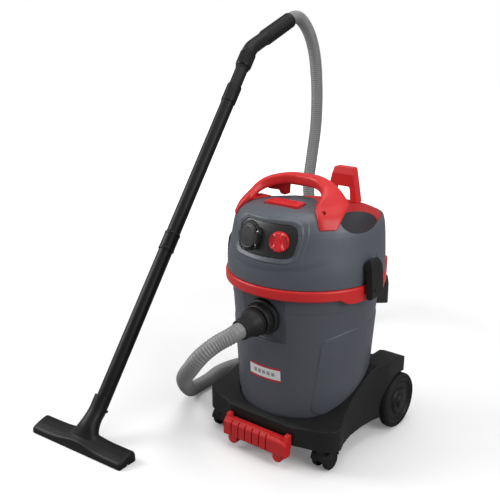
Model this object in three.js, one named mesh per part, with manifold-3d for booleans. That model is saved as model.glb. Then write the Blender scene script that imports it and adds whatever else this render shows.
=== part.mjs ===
// Wet and dry shop vacuum: a tapered tank on a rolling chassis, a latched motor head with a
// carrying handle, and the suction hose with its hand grip, two-piece wand and floor nozzle.
// Millimetres, +Z up. The machine is laid out about the tank's axis, its front towards -Y, and
// the finished group is shifted so that its origin is the bottom centre of its rigid pieces.
import * as THREE from 'three';
import { mergeVertices } from 'three/addons/utils/BufferGeometryUtils.js';
import Module from 'manifold-3d';

const wasm = await Module();
wasm.setup();

// ---------------------------------------------------------------- driving dimensions
const GAP = 0.3; // play between touching pieces
const ROUND = 28; // sides of the largest round forms
const DEG = Math.PI / 180;

const TANK = { lowZ: 84, lowR: 152.5, topZ: 400, topR: 174, rimZ: 424, rimR: 180, wall: 3.5 };
const BAND = { r: 190, low: 401, high: 426 };
const HEAD = { baseZ: 427, topZ: 594, rimR: 172.4, deckZ: 551, wall: 3.5 };
const INLET = { y: -160, z: 347, tilt: 5 * DEG, bore: 24, flange: 43 };
const PANEL = { depth: 5, knobAngle: 15 * DEG, lidAngle: -13 * DEG, z: 530 };
const WHEEL = { r: 70, x: 182, y: 147, width: 30, axle: 6, sides: 20 };
const CASTER = { x: 150, y: -138, trail: 14, r: 24, width: 13, stem: 5.5, half: 22 };
const PEDAL = { pivotY: -140, pivotZ: 46, halfX: 91 };
const LATCH = { pinX: 199.2, pinY: -20, pinZ: 404, width: 48, lug: [12, 20.5] };
const WAND = { r: 18.7, wall: 1.6, lean: 37.75 * DEG, footY: 5.2 };
const NOZZLE = { x: -353.5, y: -417, turn: 3.7 * DEG, length: 299, depth: 56 };
const GRIP = { twist: -6.8 * DEG, bend: 30.4 * DEG, bendAt: 1143, length: 196 };
const HOSE = { r: 19, bore: 15.5, seat: 68.3, cuffEnd: 88 };

// ---------------------------------------------------------------- finishes
const FINISHES = {
  blueGrey: ['#50535c', 0.5, 0],
  red: ['#c42326', 0.4, 0],
  black: ['#1e1e1f', 0.6, 0],
  hoseGrey: ['#828284', 0.55, 0],
  steel: ['#b9bcc0', 0.3, 1],
  rubber: ['#161616', 0.85, 0],
  paper: ['#d9d8d2', 0.9, 0],
  casting: ['#8d9095', 0.45, 1],
};

function finish(name) {
  const [color, roughness, metalness] = FINISHES[name];
  return new THREE.MeshStandardMaterial({ color, roughness, metalness });
}

// ---------------------------------------------------------------- solids and booleans
function solid(geometry) {
  geometry.deleteAttribute('normal');
  geometry.deleteAttribute('uv');
  const merged = mergeVertices(geometry, 1e-4);
  const index = merged.index.array;
  const kept = [];
  for (let i = 0; i < index.length; i += 3) {
    const [a, b, c] = index.slice(i, i + 3);
    if (a !== b && b !== c && c !== a) kept.push(a, b, c);
  }
  const build = (triangles) => new wasm.Manifold(new wasm.Mesh({
    numProp: 3,
    vertProperties: new Float32Array(merged.attributes.position.array),
    triVerts: new Uint32Array(triangles),
  }));
  const body = build(kept);
  return body.volume() > 0 ? body : build(kept.reverse());
}

function geometryOf(body) {
  const { vertProperties, triVerts } = body.getMesh();
  const geometry = new THREE.BufferGeometry();
  geometry.setAttribute('position', new THREE.BufferAttribute(vertProperties, 3));
  geometry.setIndex(new THREE.BufferAttribute(triVerts, 1));
  geometry.computeVertexNormals();
  return geometry;
}

const joined = (...bodies) => bodies.reduce((sum, body) => sum.add(body));
const cut = (body, ...tools) => tools.reduce((rest, tool) => rest.subtract(tool), body);

// A profile of [radius, height] pairs turned about +Z.
function turned(profile, segments = 18, phase = 0) {
  const points = profile.map(([r, z]) => new THREE.Vector2(r, z));
  return new THREE.LatheGeometry(points, segments, phase).rotateX(Math.PI / 2);
}

// A closed profile turned about +Z, open along its axis.
const turnedRing = (profile, segments, phase) =>
  turned([...profile, profile[0]], segments, phase);

const ring = (inner, outer, low, high, segments = 18) =>
  turnedRing([[inner, low], [outer, low], [outer, high], [inner, high]], segments);

const rod = (r, low, high, segments = 12) =>
  turned([[0, low], [r, low], [r, high], [0, high]], segments);

function box(x0, x1, y0, y1, z0, z1) {
  return new THREE.BoxGeometry(x1 - x0, y1 - y0, z1 - z0)
    .translate((x0 + x1) / 2, (y0 + y1) / 2, (z0 + z1) / 2);
}

// An outline whose corners are rounded by the third value of each point.
function outline(points) {
  const shape = new THREE.Shape();
  points.forEach(([x, y, round = 0], i) => {
    const corner = new THREE.Vector2(x, y);
    const [bx, by] = points.at(i - 1);
    const [ax, ay] = points[(i + 1) % points.length];
    const towards = (side) => corner.clone()
      .add(side.setLength(Math.min(round, 0.45 * side.length())));
    const from = towards(new THREE.Vector2(bx - x, by - y));
    const to = towards(new THREE.Vector2(ax - x, ay - y));
    if (i === 0) shape.moveTo(from.x, from.y);
    else shape.lineTo(from.x, from.y);
    if (round > 0) shape.quadraticCurveTo(x, y, to.x, to.y);
  });
  shape.closePath();
  return shape;
}

// An outline in plan, raised from one height to another.
function prism(points, low, high, curveSegments = 2) {
  return new THREE.ExtrudeGeometry(outline(points), {
    depth: high - low, bevelEnabled: false, curveSegments,
  }).translate(0, 0, low);
}

// An outline of (y, z) points carried along X.
const sidePrism = (points, x0, x1, curveSegments = 2) =>
  prism(points, x0, x1, curveSegments).rotateZ(Math.PI / 2).rotateY(Math.PI / 2);

// An outline of (x, z) points carried along Y.
const frontPrism = (points, y0, y1, curveSegments = 2) =>
  prism(points, -y1, -y0, curveSegments).rotateX(Math.PI / 2);

// A half outline on the +X side, completed by its reflection.
const mirrored = (points) => [
  ...points,
  ...points.filter(([x]) => x > 0).reverse().map(([x, ...rest]) => [-x, ...rest]),
];

// Two limits across the machine, taken to the left or the right side.
const span = (side, near, far) => (side > 0 ? [near, far] : [-far, -near]);

const reflected = (points) => points.map(([x, ...rest]) => [-x, ...rest]).reverse();

const vec = (x, y, z) => new THREE.Vector3(x, y, z);

// A skin over closed rings of points, with each end closed to its middle.
function loft(rings) {
  const count = rings[0].length;
  const positions = rings.flat().flatMap((p) => [p.x, p.y, p.z]);
  const index = [];
  for (let i = 0; i < rings.length - 1; i += 1) {
    for (let j = 0; j < count; j += 1) {
      const a = i * count + j;
      const b = i * count + ((j + 1) % count);
      index.push(a, b, b + count, a, b + count, a + count);
    }
  }
  const cap = (points, start, flip) => {
    const middle = points.reduce((sum, p) => sum.add(p), vec(0, 0, 0)).divideScalar(count);
    const centre = positions.length / 3;
    positions.push(middle.x, middle.y, middle.z);
    for (let j = 0; j < count; j += 1) {
      const edge = [start + j, start + ((j + 1) % count)];
      index.push(centre, ...(flip ? edge.reverse() : edge));
    }
  };
  cap(rings[0], 0, true);
  cap(rings.at(-1), (rings.length - 1) * count, false);
  const geometry = new THREE.BufferGeometry();
  geometry.setAttribute('position', new THREE.Float32BufferAttribute(positions, 3));
  geometry.setIndex(index);
  return geometry;
}

// A smooth ring about a centre, reaching a and b along its two half-axes.
function superellipse(centre, a, b, count = 16, power = 2.8) {
  return Array.from({ length: count }, (_, k) => {
    const angle = (k / count) * 2 * Math.PI;
    const [c, s] = [Math.cos(angle), Math.sin(angle)];
    const u = Math.sign(c) * Math.abs(c) ** (2 / power);
    const v = Math.sign(s) * Math.abs(s) ** (2 / power);
    return centre.clone().addScaledVector(a, u).addScaledVector(b, v);
  });
}

// A law that runs smoothly through [height, radius] pairs.
function law(pairs) {
  const slope = (k) => {
    const [za, ra] = pairs[Math.max(k - 1, 0)];
    const [zb, rb] = pairs[Math.min(k + 1, pairs.length - 1)];
    return (rb - ra) / (zb - za);
  };
  return (z) => {
    const above = pairs.findIndex(([height]) => height > z);
    const i = above < 1 ? (above === 0 ? 1 : pairs.length - 1) : above;
    const [z0, r0] = pairs[i - 1];
    const [z1, r1] = pairs[i];
    const h = z1 - z0;
    const t = THREE.MathUtils.clamp((z - z0) / h, 0, 1);
    return r0 * (1 + 2 * t) * (1 - t) ** 2 + slope(i - 1) * h * t * (1 - t) ** 2
      + r1 * t * t * (3 - 2 * t) - slope(i) * h * t * t * (1 - t);
  };
}

const rise = (from, to, value) => THREE.MathUtils.smoothstep(value, from, to);

const evenAngles = (count) => Array.from({ length: count }, (_, k) => (k / count) * 2 * Math.PI);

// Rings whose points lie where radiusAt(angle, z) says, moved inwards by inset along the wall's
// own normal. Angle 0 faces the front and grows towards the right.
function ringSolid(levels, angles, radiusAt, inset = 0) {
  return loft(levels.map((z, k) => angles.map((angle) => {
    const [za, zb] = [levels[Math.max(k - 1, 0)], levels[Math.min(k + 1, levels.length - 1)]];
    const slope = k === 0 ? 0 : (radiusAt(angle, zb) - radiusAt(angle, za)) / (zb - za);
    const reach = Math.hypot(1, slope);
    const r = radiusAt(angle, z) - inset / reach;
    return vec(r * Math.sin(angle), -r * Math.cos(angle), z + (slope * inset) / reach);
  })));
}

// ---------------------------------------------------------------- assembly
const machine = new THREE.Group();

function part(name, body, look, parent = machine) {
  const mesh = new THREE.Mesh(geometryOf(body.simplify(0.12)), finish(look));
  mesh.name = name;
  parent.add(mesh);
  return mesh;
}

function frame(x, y, z, parent = machine) {
  const group = new THREE.Group();
  group.position.set(x, y, z);
  parent.add(group);
  return group;
}

const SIDES = [['left', -1], ['right', 1]];

// ---------------------------------------------------------------- tank
const tankRadius = law([
  [72, 138], [75, 146], [TANK.lowZ, TANK.lowR], [120, 155.4], [250, 163.8], [TANK.topZ, TANK.topR],
]);

function tankForm(inset, segments, top) {
  const levels = [72, 75, TANK.lowZ, 120, 250, top];
  return solid(ringSolid(levels, evenAngles(segments), (_, z) => tankRadius(z), inset));
}

// Geometry laid out about the inlet's axis, +Z outwards, set in its place on the tank.
const onInlet = (geometry) =>
  geometry.rotateX(Math.PI / 2 + INLET.tilt).translate(0, INLET.y, INLET.z);

// What is taken off the tank's round front so that the inlet stands on a flat pad.
const padCut = (halfX, low, high, inset) =>
  solid(onInlet(box(-halfX, halfX, low, high, -inset, 60)));

function tankShell() {
  const neck = solid(turned([
    [0, 398], [173.8, 398], [TANK.rimR, 404.5], [TANK.rimR, TANK.rimZ], [0, TANK.rimZ],
  ], ROUND));
  // The flanks stand proud below a line that climbs towards the rear.
  const flank = [
    [-112, 112, 25], [-103, 312, 12], [10, 336, 40], [142, 348, 14], [146, 112, 25],
  ];
  const flankZones = joined(
    solid(sidePrism(flank, 90, 190)),
    solid(sidePrism(flank, -190, -90)),
  );
  const flanks = tankForm(-1.8, ROUND, 388).intersect(flankZones);
  const outer = cut(joined(tankForm(0, ROUND, TANK.topZ), neck, flanks), padCut(62, -56, 54, 0));
  const cavity = cut(
    joined(tankForm(TANK.wall, ROUND, TANK.topZ), solid(rod(170, 396, 440, ROUND))),
    padCut(62 + TANK.wall, -56 - TANK.wall, 120, TANK.wall),
  );
  return cut(outer, cavity, solid(onInlet(rod(INLET.bore + 5, -30, 30, 16))));
}

part('tank_shell', tankShell(), 'blueGrey');

// The red rim band hugs the neck. It drops into a lobe on each flank, with two lugs that carry
// the latch pin, and swells into a grip at the rear.
function tankBand() {
  const { r, low, high } = BAND;
  const inner = TANK.rimR + 0.4;
  const hoop = solid(turnedRing([
    [inner - 3.3, low], [r - 2.5, low], [r, low + 3], [r, high - 3], [r - 2.5, high],
    [inner, high], [inner, low + 3.4],
  ], ROUND));
  const drop = [[-108, 424], [-98, 402, 6], [-80, 391, 6], [40, 391, 6], [58, 402, 6], [68, 424]];
  const lobes = solid(ring(178.6, r, 388, low + 3, ROUND)).intersect(solid(sidePrism(drop, -200, 200)));
  const { pinX, pinY, pinZ, lug } = LATCH;
  const lugs = SIDES.flatMap(([, side]) => [[-lug[1], -lug[0]], lug].map(([from, to]) => joined(
    solid(frontPrism([[side * pinX, pinZ + 4], [side * 182, pinZ + 4], [side * 182, pinZ - 4],
      [side * pinX, pinZ - 4]], pinY + from, pinY + to)),
    solid(rod(6, -to, -from, 12).rotateX(Math.PI / 2).translate(side * pinX, pinY, pinZ)),
  )));
  const grip = solid(prism([
    [-120, 146], [120, 146], [119, 190, 18], [80, 214, 14], [-80, 214, 14], [-119, 190, 18],
  ], 384, 423));
  const pinBores = SIDES.map(([, side]) => solid(rod(2.7, -40, 40, 10).rotateX(Math.PI / 2)
    .translate(side * pinX, pinY, pinZ)));
  const clearance = solid(turned([
    [0, 370], [inner - 7.5, 370], [inner - 6, 398], [inner, low + 3.4], [inner, 440], [0, 440],
  ], ROUND));
  return cut(joined(hoop, lobes, ...lugs, grip), clearance, ...pinBores);
}

part('tank_band', tankBand(), 'red');

part('rim_gasket', solid(turnedRing([
  [175, 424.3], [179, 424.3], [179, 426.7], [175, 426.7],
], 24)), 'rubber');

// ---------------------------------------------------------------- inlet
const inlet = frame(0, INLET.y, INLET.z);
inlet.rotation.x = Math.PI / 2 + INLET.tilt;

function inletFlange() {
  const { bore, flange } = INLET;
  return solid(turnedRing([
    [bore, -24], [bore + 4, -24], [bore + 4, GAP], [flange, GAP], [flange, 9], [flange - 4, 13],
    [bore + 7, 13], [bore + 7, 8], [bore, 8],
  ], 20));
}

part('inlet_flange', inletFlange(), 'black', inlet);

// The elbow inside turns the incoming air down the wall, away from the filter.
function inletDeflector() {
  const bore = INLET.bore + 1;
  const stations = [[0, -25, 0], [0, -34, 0], [-7, -47, 35], [-24, -55, 70], [-46, -57, 90]];
  const skin = (r, run) => solid(loft(run.map(([y, z, turn]) => {
    const [c, s] = [Math.cos(turn * DEG), Math.sin(turn * DEG)];
    return superellipse(vec(0, y, z), vec(r, 0, 0), vec(0, -r * c, r * s), 8, 2);
  })));
  const socket = solid(ring(INLET.bore + 4.8, INLET.bore + 7.5, -28, -5.5, 16));
  const through = [[0, -20, 0], ...stations.slice(1, -1), [-60, -57.6, 90]];
  const step = solid(ring(bore - 1, INLET.bore + 7.5, -30, -25, 16));
  return cut(joined(socket, step, skin(bore + 3, stations)), skin(bore, through));
}

part('inlet_deflector', inletDeflector(), 'black', inlet);

const collar = frame(0, 0, 13 + GAP, inlet);

// The locking collar that a part turn releases.
function bayonetCollar() {
  const body = solid(turnedRing([
    [30.6, 0], [36, 0], [36, 15], [34, 18], [30.6, 18],
  ], 20));
  const grips = evenAngles(8).map((angle) => solid(rod(2.6, 3, 15, 4)
    .translate(36 * Math.cos(angle), 36 * Math.sin(angle), 0)));
  return joined(body, ...grips);
}

part('bayonet_collar', bayonetCollar(), 'black', collar);

// The hose's own cuff: a spigot through the collar, a shoulder, then a taper to the hose.
part('machine_cuff', solid(turnedRing([
  [HOSE.bore, 10], [23.6, 10], [23.6, 13.6], [30, 13.6], [30, 32], [32.5, 35], [32.5, 46],
  [25.5, 60], [23.5, 86], [22.3, HOSE.cuffEnd], [HOSE.r + 0.6, HOSE.cuffEnd],
  [HOSE.r + 0.6, HOSE.seat - GAP], [HOSE.bore, HOSE.seat - GAP],
], 16)), 'black', inlet);

// ---------------------------------------------------------------- head
const headFront = law([
  [427, 186], [455, 184.5], [472, 181.5], [490, 177], [510, 172], [530, 167.5], [550, 162.5],
  [565, 156], [576, 148], [584, 138], [589, 124], [592, 104], [593.5, 75], [HEAD.topZ, 40],
]);
const headRear = law([
  [427, 186], [455, 186], [490, 186], [520, 185.5], [540, 184], [551, 181.5], [565, 175],
  [576, 165], [584, 152], [589, 136], [592, 112], [593.5, 80], [HEAD.topZ, 40],
]);
const HEAD_LEVELS = [
  427, 455, 464, 474, 498, 528, 555, 571, 581, 588, 592, 594,
];

// The front rises as a brow, proud of the flanks, that carries the control panel.
function headRadius(angle, z) {
  const side = Math.min(angle, 2 * Math.PI - angle);
  const front = (0.5 + 0.5 * Math.cos(angle)) ** 1.2;
  const low = 462 + 14 * (side / (38 * DEG)) ** 2;
  const brow = (1 - rise(34 * DEG, 40 * DEG, side)) * rise(low, low + 9, z) * (1 - rise(570, 590, z));
  return front * headFront(z) + (1 - front) * headRear(z) + 3.5 * brow;
}

function headForm(inset = 0, fine = true) {
  const creases = fine ? [34, 37, 323, 326].map((angle) => angle * DEG) : [];
  const angles = [...evenAngles(fine ? 28 : 14), ...creases].sort((a, b) => a - b);
  return solid(ringSolid(HEAD_LEVELS, angles, headRadius, inset));
}

// The dome ends behind this line, and the flat rear deck begins.
const DECK_EDGE = [
  [-200, -64], [-100, -64], [-64, -46, 14], [-24, -4, 12], [24, -4, 12], [64, -46, 14],
  [100, -64], [200, -64], [200, 230], [-200, 230],
];
const PANEL_EDGE = [
  [-51, 569, 3], [-80, 547, 3], [-89, 497, 4], [-24, 487, 20], [24, 486, 20], [60, 491, 5],
  [80, 538, 6], [74, 562, 4],
];

// The head's surface at an angle and height, as a frame whose +Z is the outward normal.
function seatOn(parent, angle, z, out) {
  const slope = (headRadius(angle, z + 8) - headRadius(angle, z - 8)) / 16;
  const tilt = Math.atan(-slope);
  const r = headRadius(angle, z) + out * Math.cos(tilt);
  const seat = frame(r * Math.sin(angle), -r * Math.cos(angle), z + out * Math.sin(tilt), parent);
  seat.rotation.set(Math.PI / 2 - tilt, 0, angle, 'ZXY');
  return seat;
}

// A body in a seat's own frame, expressed in the machine's frame.
function seated(geometry, seat) {
  seat.updateWorldMatrix(true, false);
  return solid(geometry.applyMatrix4(seat.matrixWorld));
}

const knobSeat = seatOn(machine, PANEL.knobAngle, PANEL.z, 0);
const lidSeat = seatOn(machine, PANEL.lidAngle, PANEL.z, 0);
const glandSeat = seatOn(machine, 142 * DEG, 455, 0);

// Air scoops open into both shoulders, below the deck's edge and behind the handle's feet.
function scoop(side, grow) {
  return solid(new THREE.SphereGeometry(1, 18, 10).scale(48 + grow, 100 + grow, 34 + grow)
    .rotateZ(side * 28 * DEG).translate(side * 130, 8, 572));
}

// Shallow pockets in the flanks receive the latch plates.
function latchPocket(side, grow) {
  const pocket = [[-58, 400], [-58, 476, 10], [-46, 502, 10], [6, 502, 10], [18, 476, 10], [18, 400]];
  return solid(sidePrism(pocket, ...span(side, 181 - grow, 230)));
}

const BUTTON_WELL = [[-48, -114, 12], [48, -114, 12], [40, -56, 12], [-40, -56, 12]];

// The deck lies in a shallow well. Its rim climbs from the rear towards the handle's feet.
const RIM_TOP = [[-80, 567], [20, 563], [100, 556], [200, 548], [200, 640], [-80, 640]];

function headHousing() {
  const behind = solid(prism(DECK_EDGE, HEAD.deckZ, 640));
  const deck = joined(
    behind.intersect(solid(ringSolid([HEAD.deckZ, 640], evenAngles(ROUND), () => HEAD.rimR))),
    behind.intersect(solid(sidePrism(RIM_TOP, -200, 200))),
  );
  const panelZone = solid(frontPrism(PANEL_EDGE, -230, -60));
  const pocket = cut(panelZone, headForm(PANEL.depth, false));
  const rimEdge = PANEL_EDGE.map(([x, z, round]) => [x * 1.1 - 0.5, (z - 528) * 1.18 + 528, round + 4]);
  const rim = solid(frontPrism(rimEdge, -230, -60)).intersect(headForm(-2.2));
  const well = solid(prism(BUTTON_WELL, 560, 640));
  const buttonPocket = cut(well, headForm(9, false));
  const outside = cut(joined(headForm(), rim), pocket, deck, buttonPocket,
    ...SIDES.flatMap(([, side]) => [scoop(side, 0), latchPocket(side, 0)]));
  const inside = solid(turned([
    [0, 420], [181.6, 420], [181.6, 433], [175, 445], [172, 468], [160, 492], [120, 528],
    [66, HEAD.deckZ - HEAD.wall], [0, HEAD.deckZ - HEAD.wall],
  ], 20));
  const knobHole = seated(rod(16.4, -60, 10, 12), knobSeat);
  const socketHole = seated(rod(27, -60, 10, 16), lidSeat);
  const plungerHole = solid(rod(6.2, 540, 640, 8).translate(0, -88, 0));
  const glandHole = seated(rod(8.6, -12, 6, 12), glandSeat);
  const vents = [-3, -2, -1, 0, 1, 2, 3].map((k) => solid(box(-1.7, 1.7, 170, 196, 442, 472)
    .rotateZ(k * 5 * DEG)));
  return cut(outside, inside, knobHole, socketHole, plungerHole, glandHole, ...vents);
}

part('head_housing', headHousing(), 'blueGrey');

// ---------------------------------------------------------------- control panel
const scaledAbout = (points, sx, sy, cx, cy) =>
  points.map(([x, y, round]) => [cx + (x - cx) * sx, cy + (y - cy) * sy, round]);

function controlPanel() {
  const edge = scaledAbout(PANEL_EDGE, 0.994, 0.99, -4, 528);
  const plate = solid(frontPrism(edge, -230, -60)).intersect(headForm(0.6, false));
  return cut(plate, headForm(PANEL.depth - 0.6, false),
    seated(rod(6.8, -30, 10, 12), knobSeat), seated(rod(37, -30, 10, 18), lidSeat));
}

part('control_panel', controlPanel(), 'black');

// The power socket: a round bezel sunk in the panel, a cup behind it and two hinge lugs.
function socketInsert() {
  const body = solid(turned([
    [0, -34], [26, -34], [26, -4.6], [36, -4.6], [36, 1.5], [27, 1.5], [23.5, -2],
    [23.5, -24], [0, -24],
  ], 18));
  const lugs = [-14, 9.4].map((y) => solid(box(29, 34, y, y + 4.6, 0, 6.4)));
  const pins = [-9.5, 9.5].map((x) => solid(rod(2.4, -30, -20, 8).translate(x, 0, 0)));
  return cut(joined(body, ...lugs), ...pins,
    solid(rod(1.4, -20, 20, 8).rotateX(Math.PI / 2).translate(31.5, 0, 4.4)));
}

part('socket_insert', socketInsert(), 'black', lidSeat);
part('socket_hinge_pin', solid(rod(1, -13.8, 13.8, 6).rotateX(Math.PI / 2).translate(31.5, 0, 4.4)),
  'steel', lidSeat);

const lidHinge = frame(31.5, 0, 4.4, lidSeat);

function socketLid() {
  const disc = solid(turned([
    [0, -2.4], [29, -2.4], [29, 0], [27, 1.8], [0, 1.8],
  ], 18).translate(-31.5, 0, 0));
  const rim = solid(ring(23.5, 25, -2.4, 2.6, 18).translate(-31.5, 0, 0));
  const knuckle = solid(rod(2.4, -9.1, 9.1, 10).rotateX(Math.PI / 2));
  const arm = solid(box(-8, 0, -9.1, 9.1, -2.2, 0.8));
  return cut(joined(disc, rim, knuckle, arm), solid(rod(1.4, -20, 20, 8).rotateX(Math.PI / 2)));
}

part('socket_lid', socketLid(), 'black', lidHinge);

// The rotary knob: a flanged disc with a tapered grip bar across it.
function powerKnob() {
  const disc = solid(turned([[0, 0], [25, 0], [25, 3.5], [22, 7.5], [0, 7.5]], 20));
  const bar = solid(frontPrism([
    [-7.5, 6], [-5.5, 19, 3], [5.5, 19, 3], [7.5, 6],
  ], -22, 22)).intersect(solid(turned([[0, 0], [24, 0], [22, 20], [0, 20]], 16)));
  const shaft = solid(rod(6, -20, 1, 12));
  const mark = solid(box(-0.9, 0.9, 8, 21, 18.4, 20));
  return cut(joined(disc, bar, shaft), mark);
}

part('power_knob', powerKnob(), 'red', knobSeat);
part('rotary_switch', cut(solid(rod(15, -44, -10.4, 12)), solid(rod(6.6, -20.6, 0, 12))), 'black',
  knobSeat);

// ---------------------------------------------------------------- motor and filter
part('head_floor', solid(turnedRing([
  [45, 427], [179, 427], [179, 430.5], [72, 430.5], [72, 438], [69, 438], [69, 430.5], [45, 430.5],
], 20)), 'black');
part('motor_mount', solid(ring(48, 66, 430.8, 435, 16)), 'rubber');
part('turbine_housing', solid(turned([
  [0, 435.3], [66, 435.3], [66, 462], [60, 470], [0, 470],
], 16)), 'casting');
part('motor_can', solid(turned([
  [0, 470.3], [46, 470.3], [46, 520], [36, 528], [14, 528], [14, 534], [0, 534],
], 16)), 'steel');

// A pleated cartridge between two end rings, pushed over the float cage.
function filterCartridge() {
  const folds = evenAngles(28).map((angle, k) => {
    const r = k % 2 ? 53 : 66;
    return [r * Math.cos(angle), r * Math.sin(angle)];
  });
  const pleats = solid(prism(folds, 280, 414));
  const ends = [[272, 282], [412, 422]].map(([low, high]) => solid(rod(68, low, high, 16)));
  return cut(joined(pleats, ...ends), solid(rod(44, 200, 440, 12)));
}

part('filter_cartridge', filterCartridge(), 'paper');

function floatCage() {
  const cage = solid(turned([
    [0, 284], [38, 284], [38, 422.4], [43.6, 422.4], [43.6, 426.7], [33, 426.7], [33, 290],
    [0, 290],
  ], 12));
  const windows = [0, 60, 120].map((angle) => solid(box(-60, 60, -8, 8, 300, 380)
    .rotateZ(angle * DEG)));
  const drain = solid(rod(12, 280, 295, 8));
  return cut(cage, ...windows, drain);
}

part('float_cage', floatCage(), 'black');

const floatSeat = frame(0, 0, 290.3);
part('float', solid(turned([
  [0, 0], [20, 0], [31, 12], [31, 40], [24, 50], [0, 50],
], 16)), 'paper', floatSeat);

function filterRetainer() {
  const cap = solid(turned([
    [0, 262], [50, 262], [60, 266], [60, 271.7], [37, 271.7], [37, 283.7], [0, 283.7],
  ], 16));
  const wing = solid(frontPrism([
    [-26, 263], [-20, 246, 5], [20, 246, 5], [26, 263],
  ], -4, 4));
  return joined(cap, wing);
}

part('filter_retainer', filterRetainer(), 'black');

// ---------------------------------------------------------------- carrying handle
// The right half of the handle, from its foot on the shoulder to the middle of the bar:
// centre, then the two half-axes of the section there.
const HANDLE_SECTIONS = [
  [[134, -106, 553], [13, 16, 0], [4.2, -3.8, 1.6]],
  [[124, -90, 578], [17.5, 23, 0], [5.9, -5, 2.6]],
  [[111, -68, 597], [20, 30, 0], [6, -4.6, 5]],
  [[102, -54, 611], [13, 27, 0], [6, -4, 8]],
  [[88, -40, 622], [7, 23, 0], [5, -2.6, 11]],
  [[66, -26, 630], [3, 20, 0], [3, -1.3, 12.4]],
  [[35, -14, 634.5], [0.5, 17, 0], [0.8, -0.4, 13.6]],
  [[0, -12, 635], [0, 16, 0], [0, 0, 13.8]],
];

function carryHandle() {
  const right = HANDLE_SECTIONS.map((section) => section.map((p) => vec(...p)));
  const left = right.slice(0, -1).reverse()
    .map((section) => section.map(({ x, y, z }) => vec(-x, y, z)));
  const arch = solid(loft([...right, ...left].map((section) => superellipse(...section, 12))));
  const footEdge = [[50, -46, 6], [117, -124, 4], [147, -95, 6], [142, -60, 8], [100, -44]];
  const skin = cut(headForm(-4.5), headForm(-GAP));
  const feet = SIDES.map(([, side]) => solid(prism(side > 0 ? footEdge : reflected(footEdge),
    555, 640)).intersect(skin));
  const lug = solid(frontPrism([
    [-100, 616], [-96, 603, 4], [-64, 604, 2], [-60, 596, 3], [-46, 594, 3], [-44, 630],
  ], -24, -3));
  const screws = SIDES.map(([, side]) => handleBore(side, 4.6, 8));
  const trimmed = cut(joined(...feet), ...SIDES.map(([, side]) => scoop(side, 0)));
  return cut(joined(arch, trimmed, lug), headForm(-GAP), ...screws);
}

// A round bore square to the handle's shoulder, reaching from depth below it outwards.
function handleBore(side, r, depth) {
  return solid(rod(r, -depth, 20, 16).applyMatrix4(new THREE.Matrix4().makeRotationFromQuaternion(
    new THREE.Quaternion().setFromUnitVectors(vec(0, 0, 1), vec(side * 0.62, -0.52, 0.59).normalize()),
  )).translate(side * 122, -84, 604));
}

part('carry_handle', carryHandle(), 'red');

// ---------------------------------------------------------------- rear deck and hose bracket
function rearDeck() {
  const plate = solid(ringSolid([HEAD.deckZ + GAP, 555.5], evenAngles(ROUND), () => HEAD.rimR - 0.5));
  const behind = solid(prism(DECK_EDGE, 540, 640).translate(0, 0.7, 0));
  return cut(plate.intersect(behind), ...SIDES.map(([, side]) => scoop(side, 0.4)));
}

part('rear_deck', rearDeck(), 'red');

function hoseBracket() {
  const outer = solid(frontPrism([
    [-46, 555.8], [-44, 566, 6], [-28, 640, 6], [28, 640, 6], [44, 566, 6], [46, 555.8],
  ], 146, 170));
  const window = solid(frontPrism([
    [-30, 540], [-24, 598, 8], [24, 598, 8], [30, 540],
  ], 100, 200));
  const slope = solid(sidePrism([[140, 700], [140, 600], [153, 650], [166, 650], [166, 700]], -60, 60));
  return cut(outer, window, slope);
}

part('hose_bracket', hoseBracket(), 'red');

// ---------------------------------------------------------------- clean button and cable gland
function cleanButton() {
  const edge = scaledAbout(BUTTON_WELL, 0.975, 0.96, 0, -85);
  const cap = solid(prism(edge, 560, 597.5));
  const grips = [-1, 0, 1].map((k) => solid(box(-30, 30, -88 + k * 14, -83 + k * 14, 590, 600)));
  return joined(cut(joined(cap, ...grips), headForm(2.6, false)), solid(rod(5.5, 566, 592, 8)
    .translate(0, -88, 0)));
}

const buttonSlide = frame(0, 0, 0);
part('clean_button', cleanButton(), 'red', buttonSlide);

part('cable_gland', solid(turned([
  [0, -10], [8, -10], [8, 0.7], [13, 0.7], [13, 4], [9, 7], [7, 19], [4, 19], [4, 8], [0, 8],
], 12)), 'black', glandSeat);

// ---------------------------------------------------------------- latches
SIDES.forEach(([name, side]) => {
  const pivot = frame(side * LATCH.pinX, LATCH.pinY, LATCH.pinZ);
  pivot.rotation.z = side > 0 ? 0 : Math.PI;
  part(`latch_${name}`, latch(), 'black', pivot);
  part(`latch_pin_${name}`, solid(rod(2.4, -23.5, 23.5, 10).rotateX(Math.PI / 2)
    .translate(side * LATCH.pinX, LATCH.pinY, LATCH.pinZ)), 'steel');
});

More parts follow.
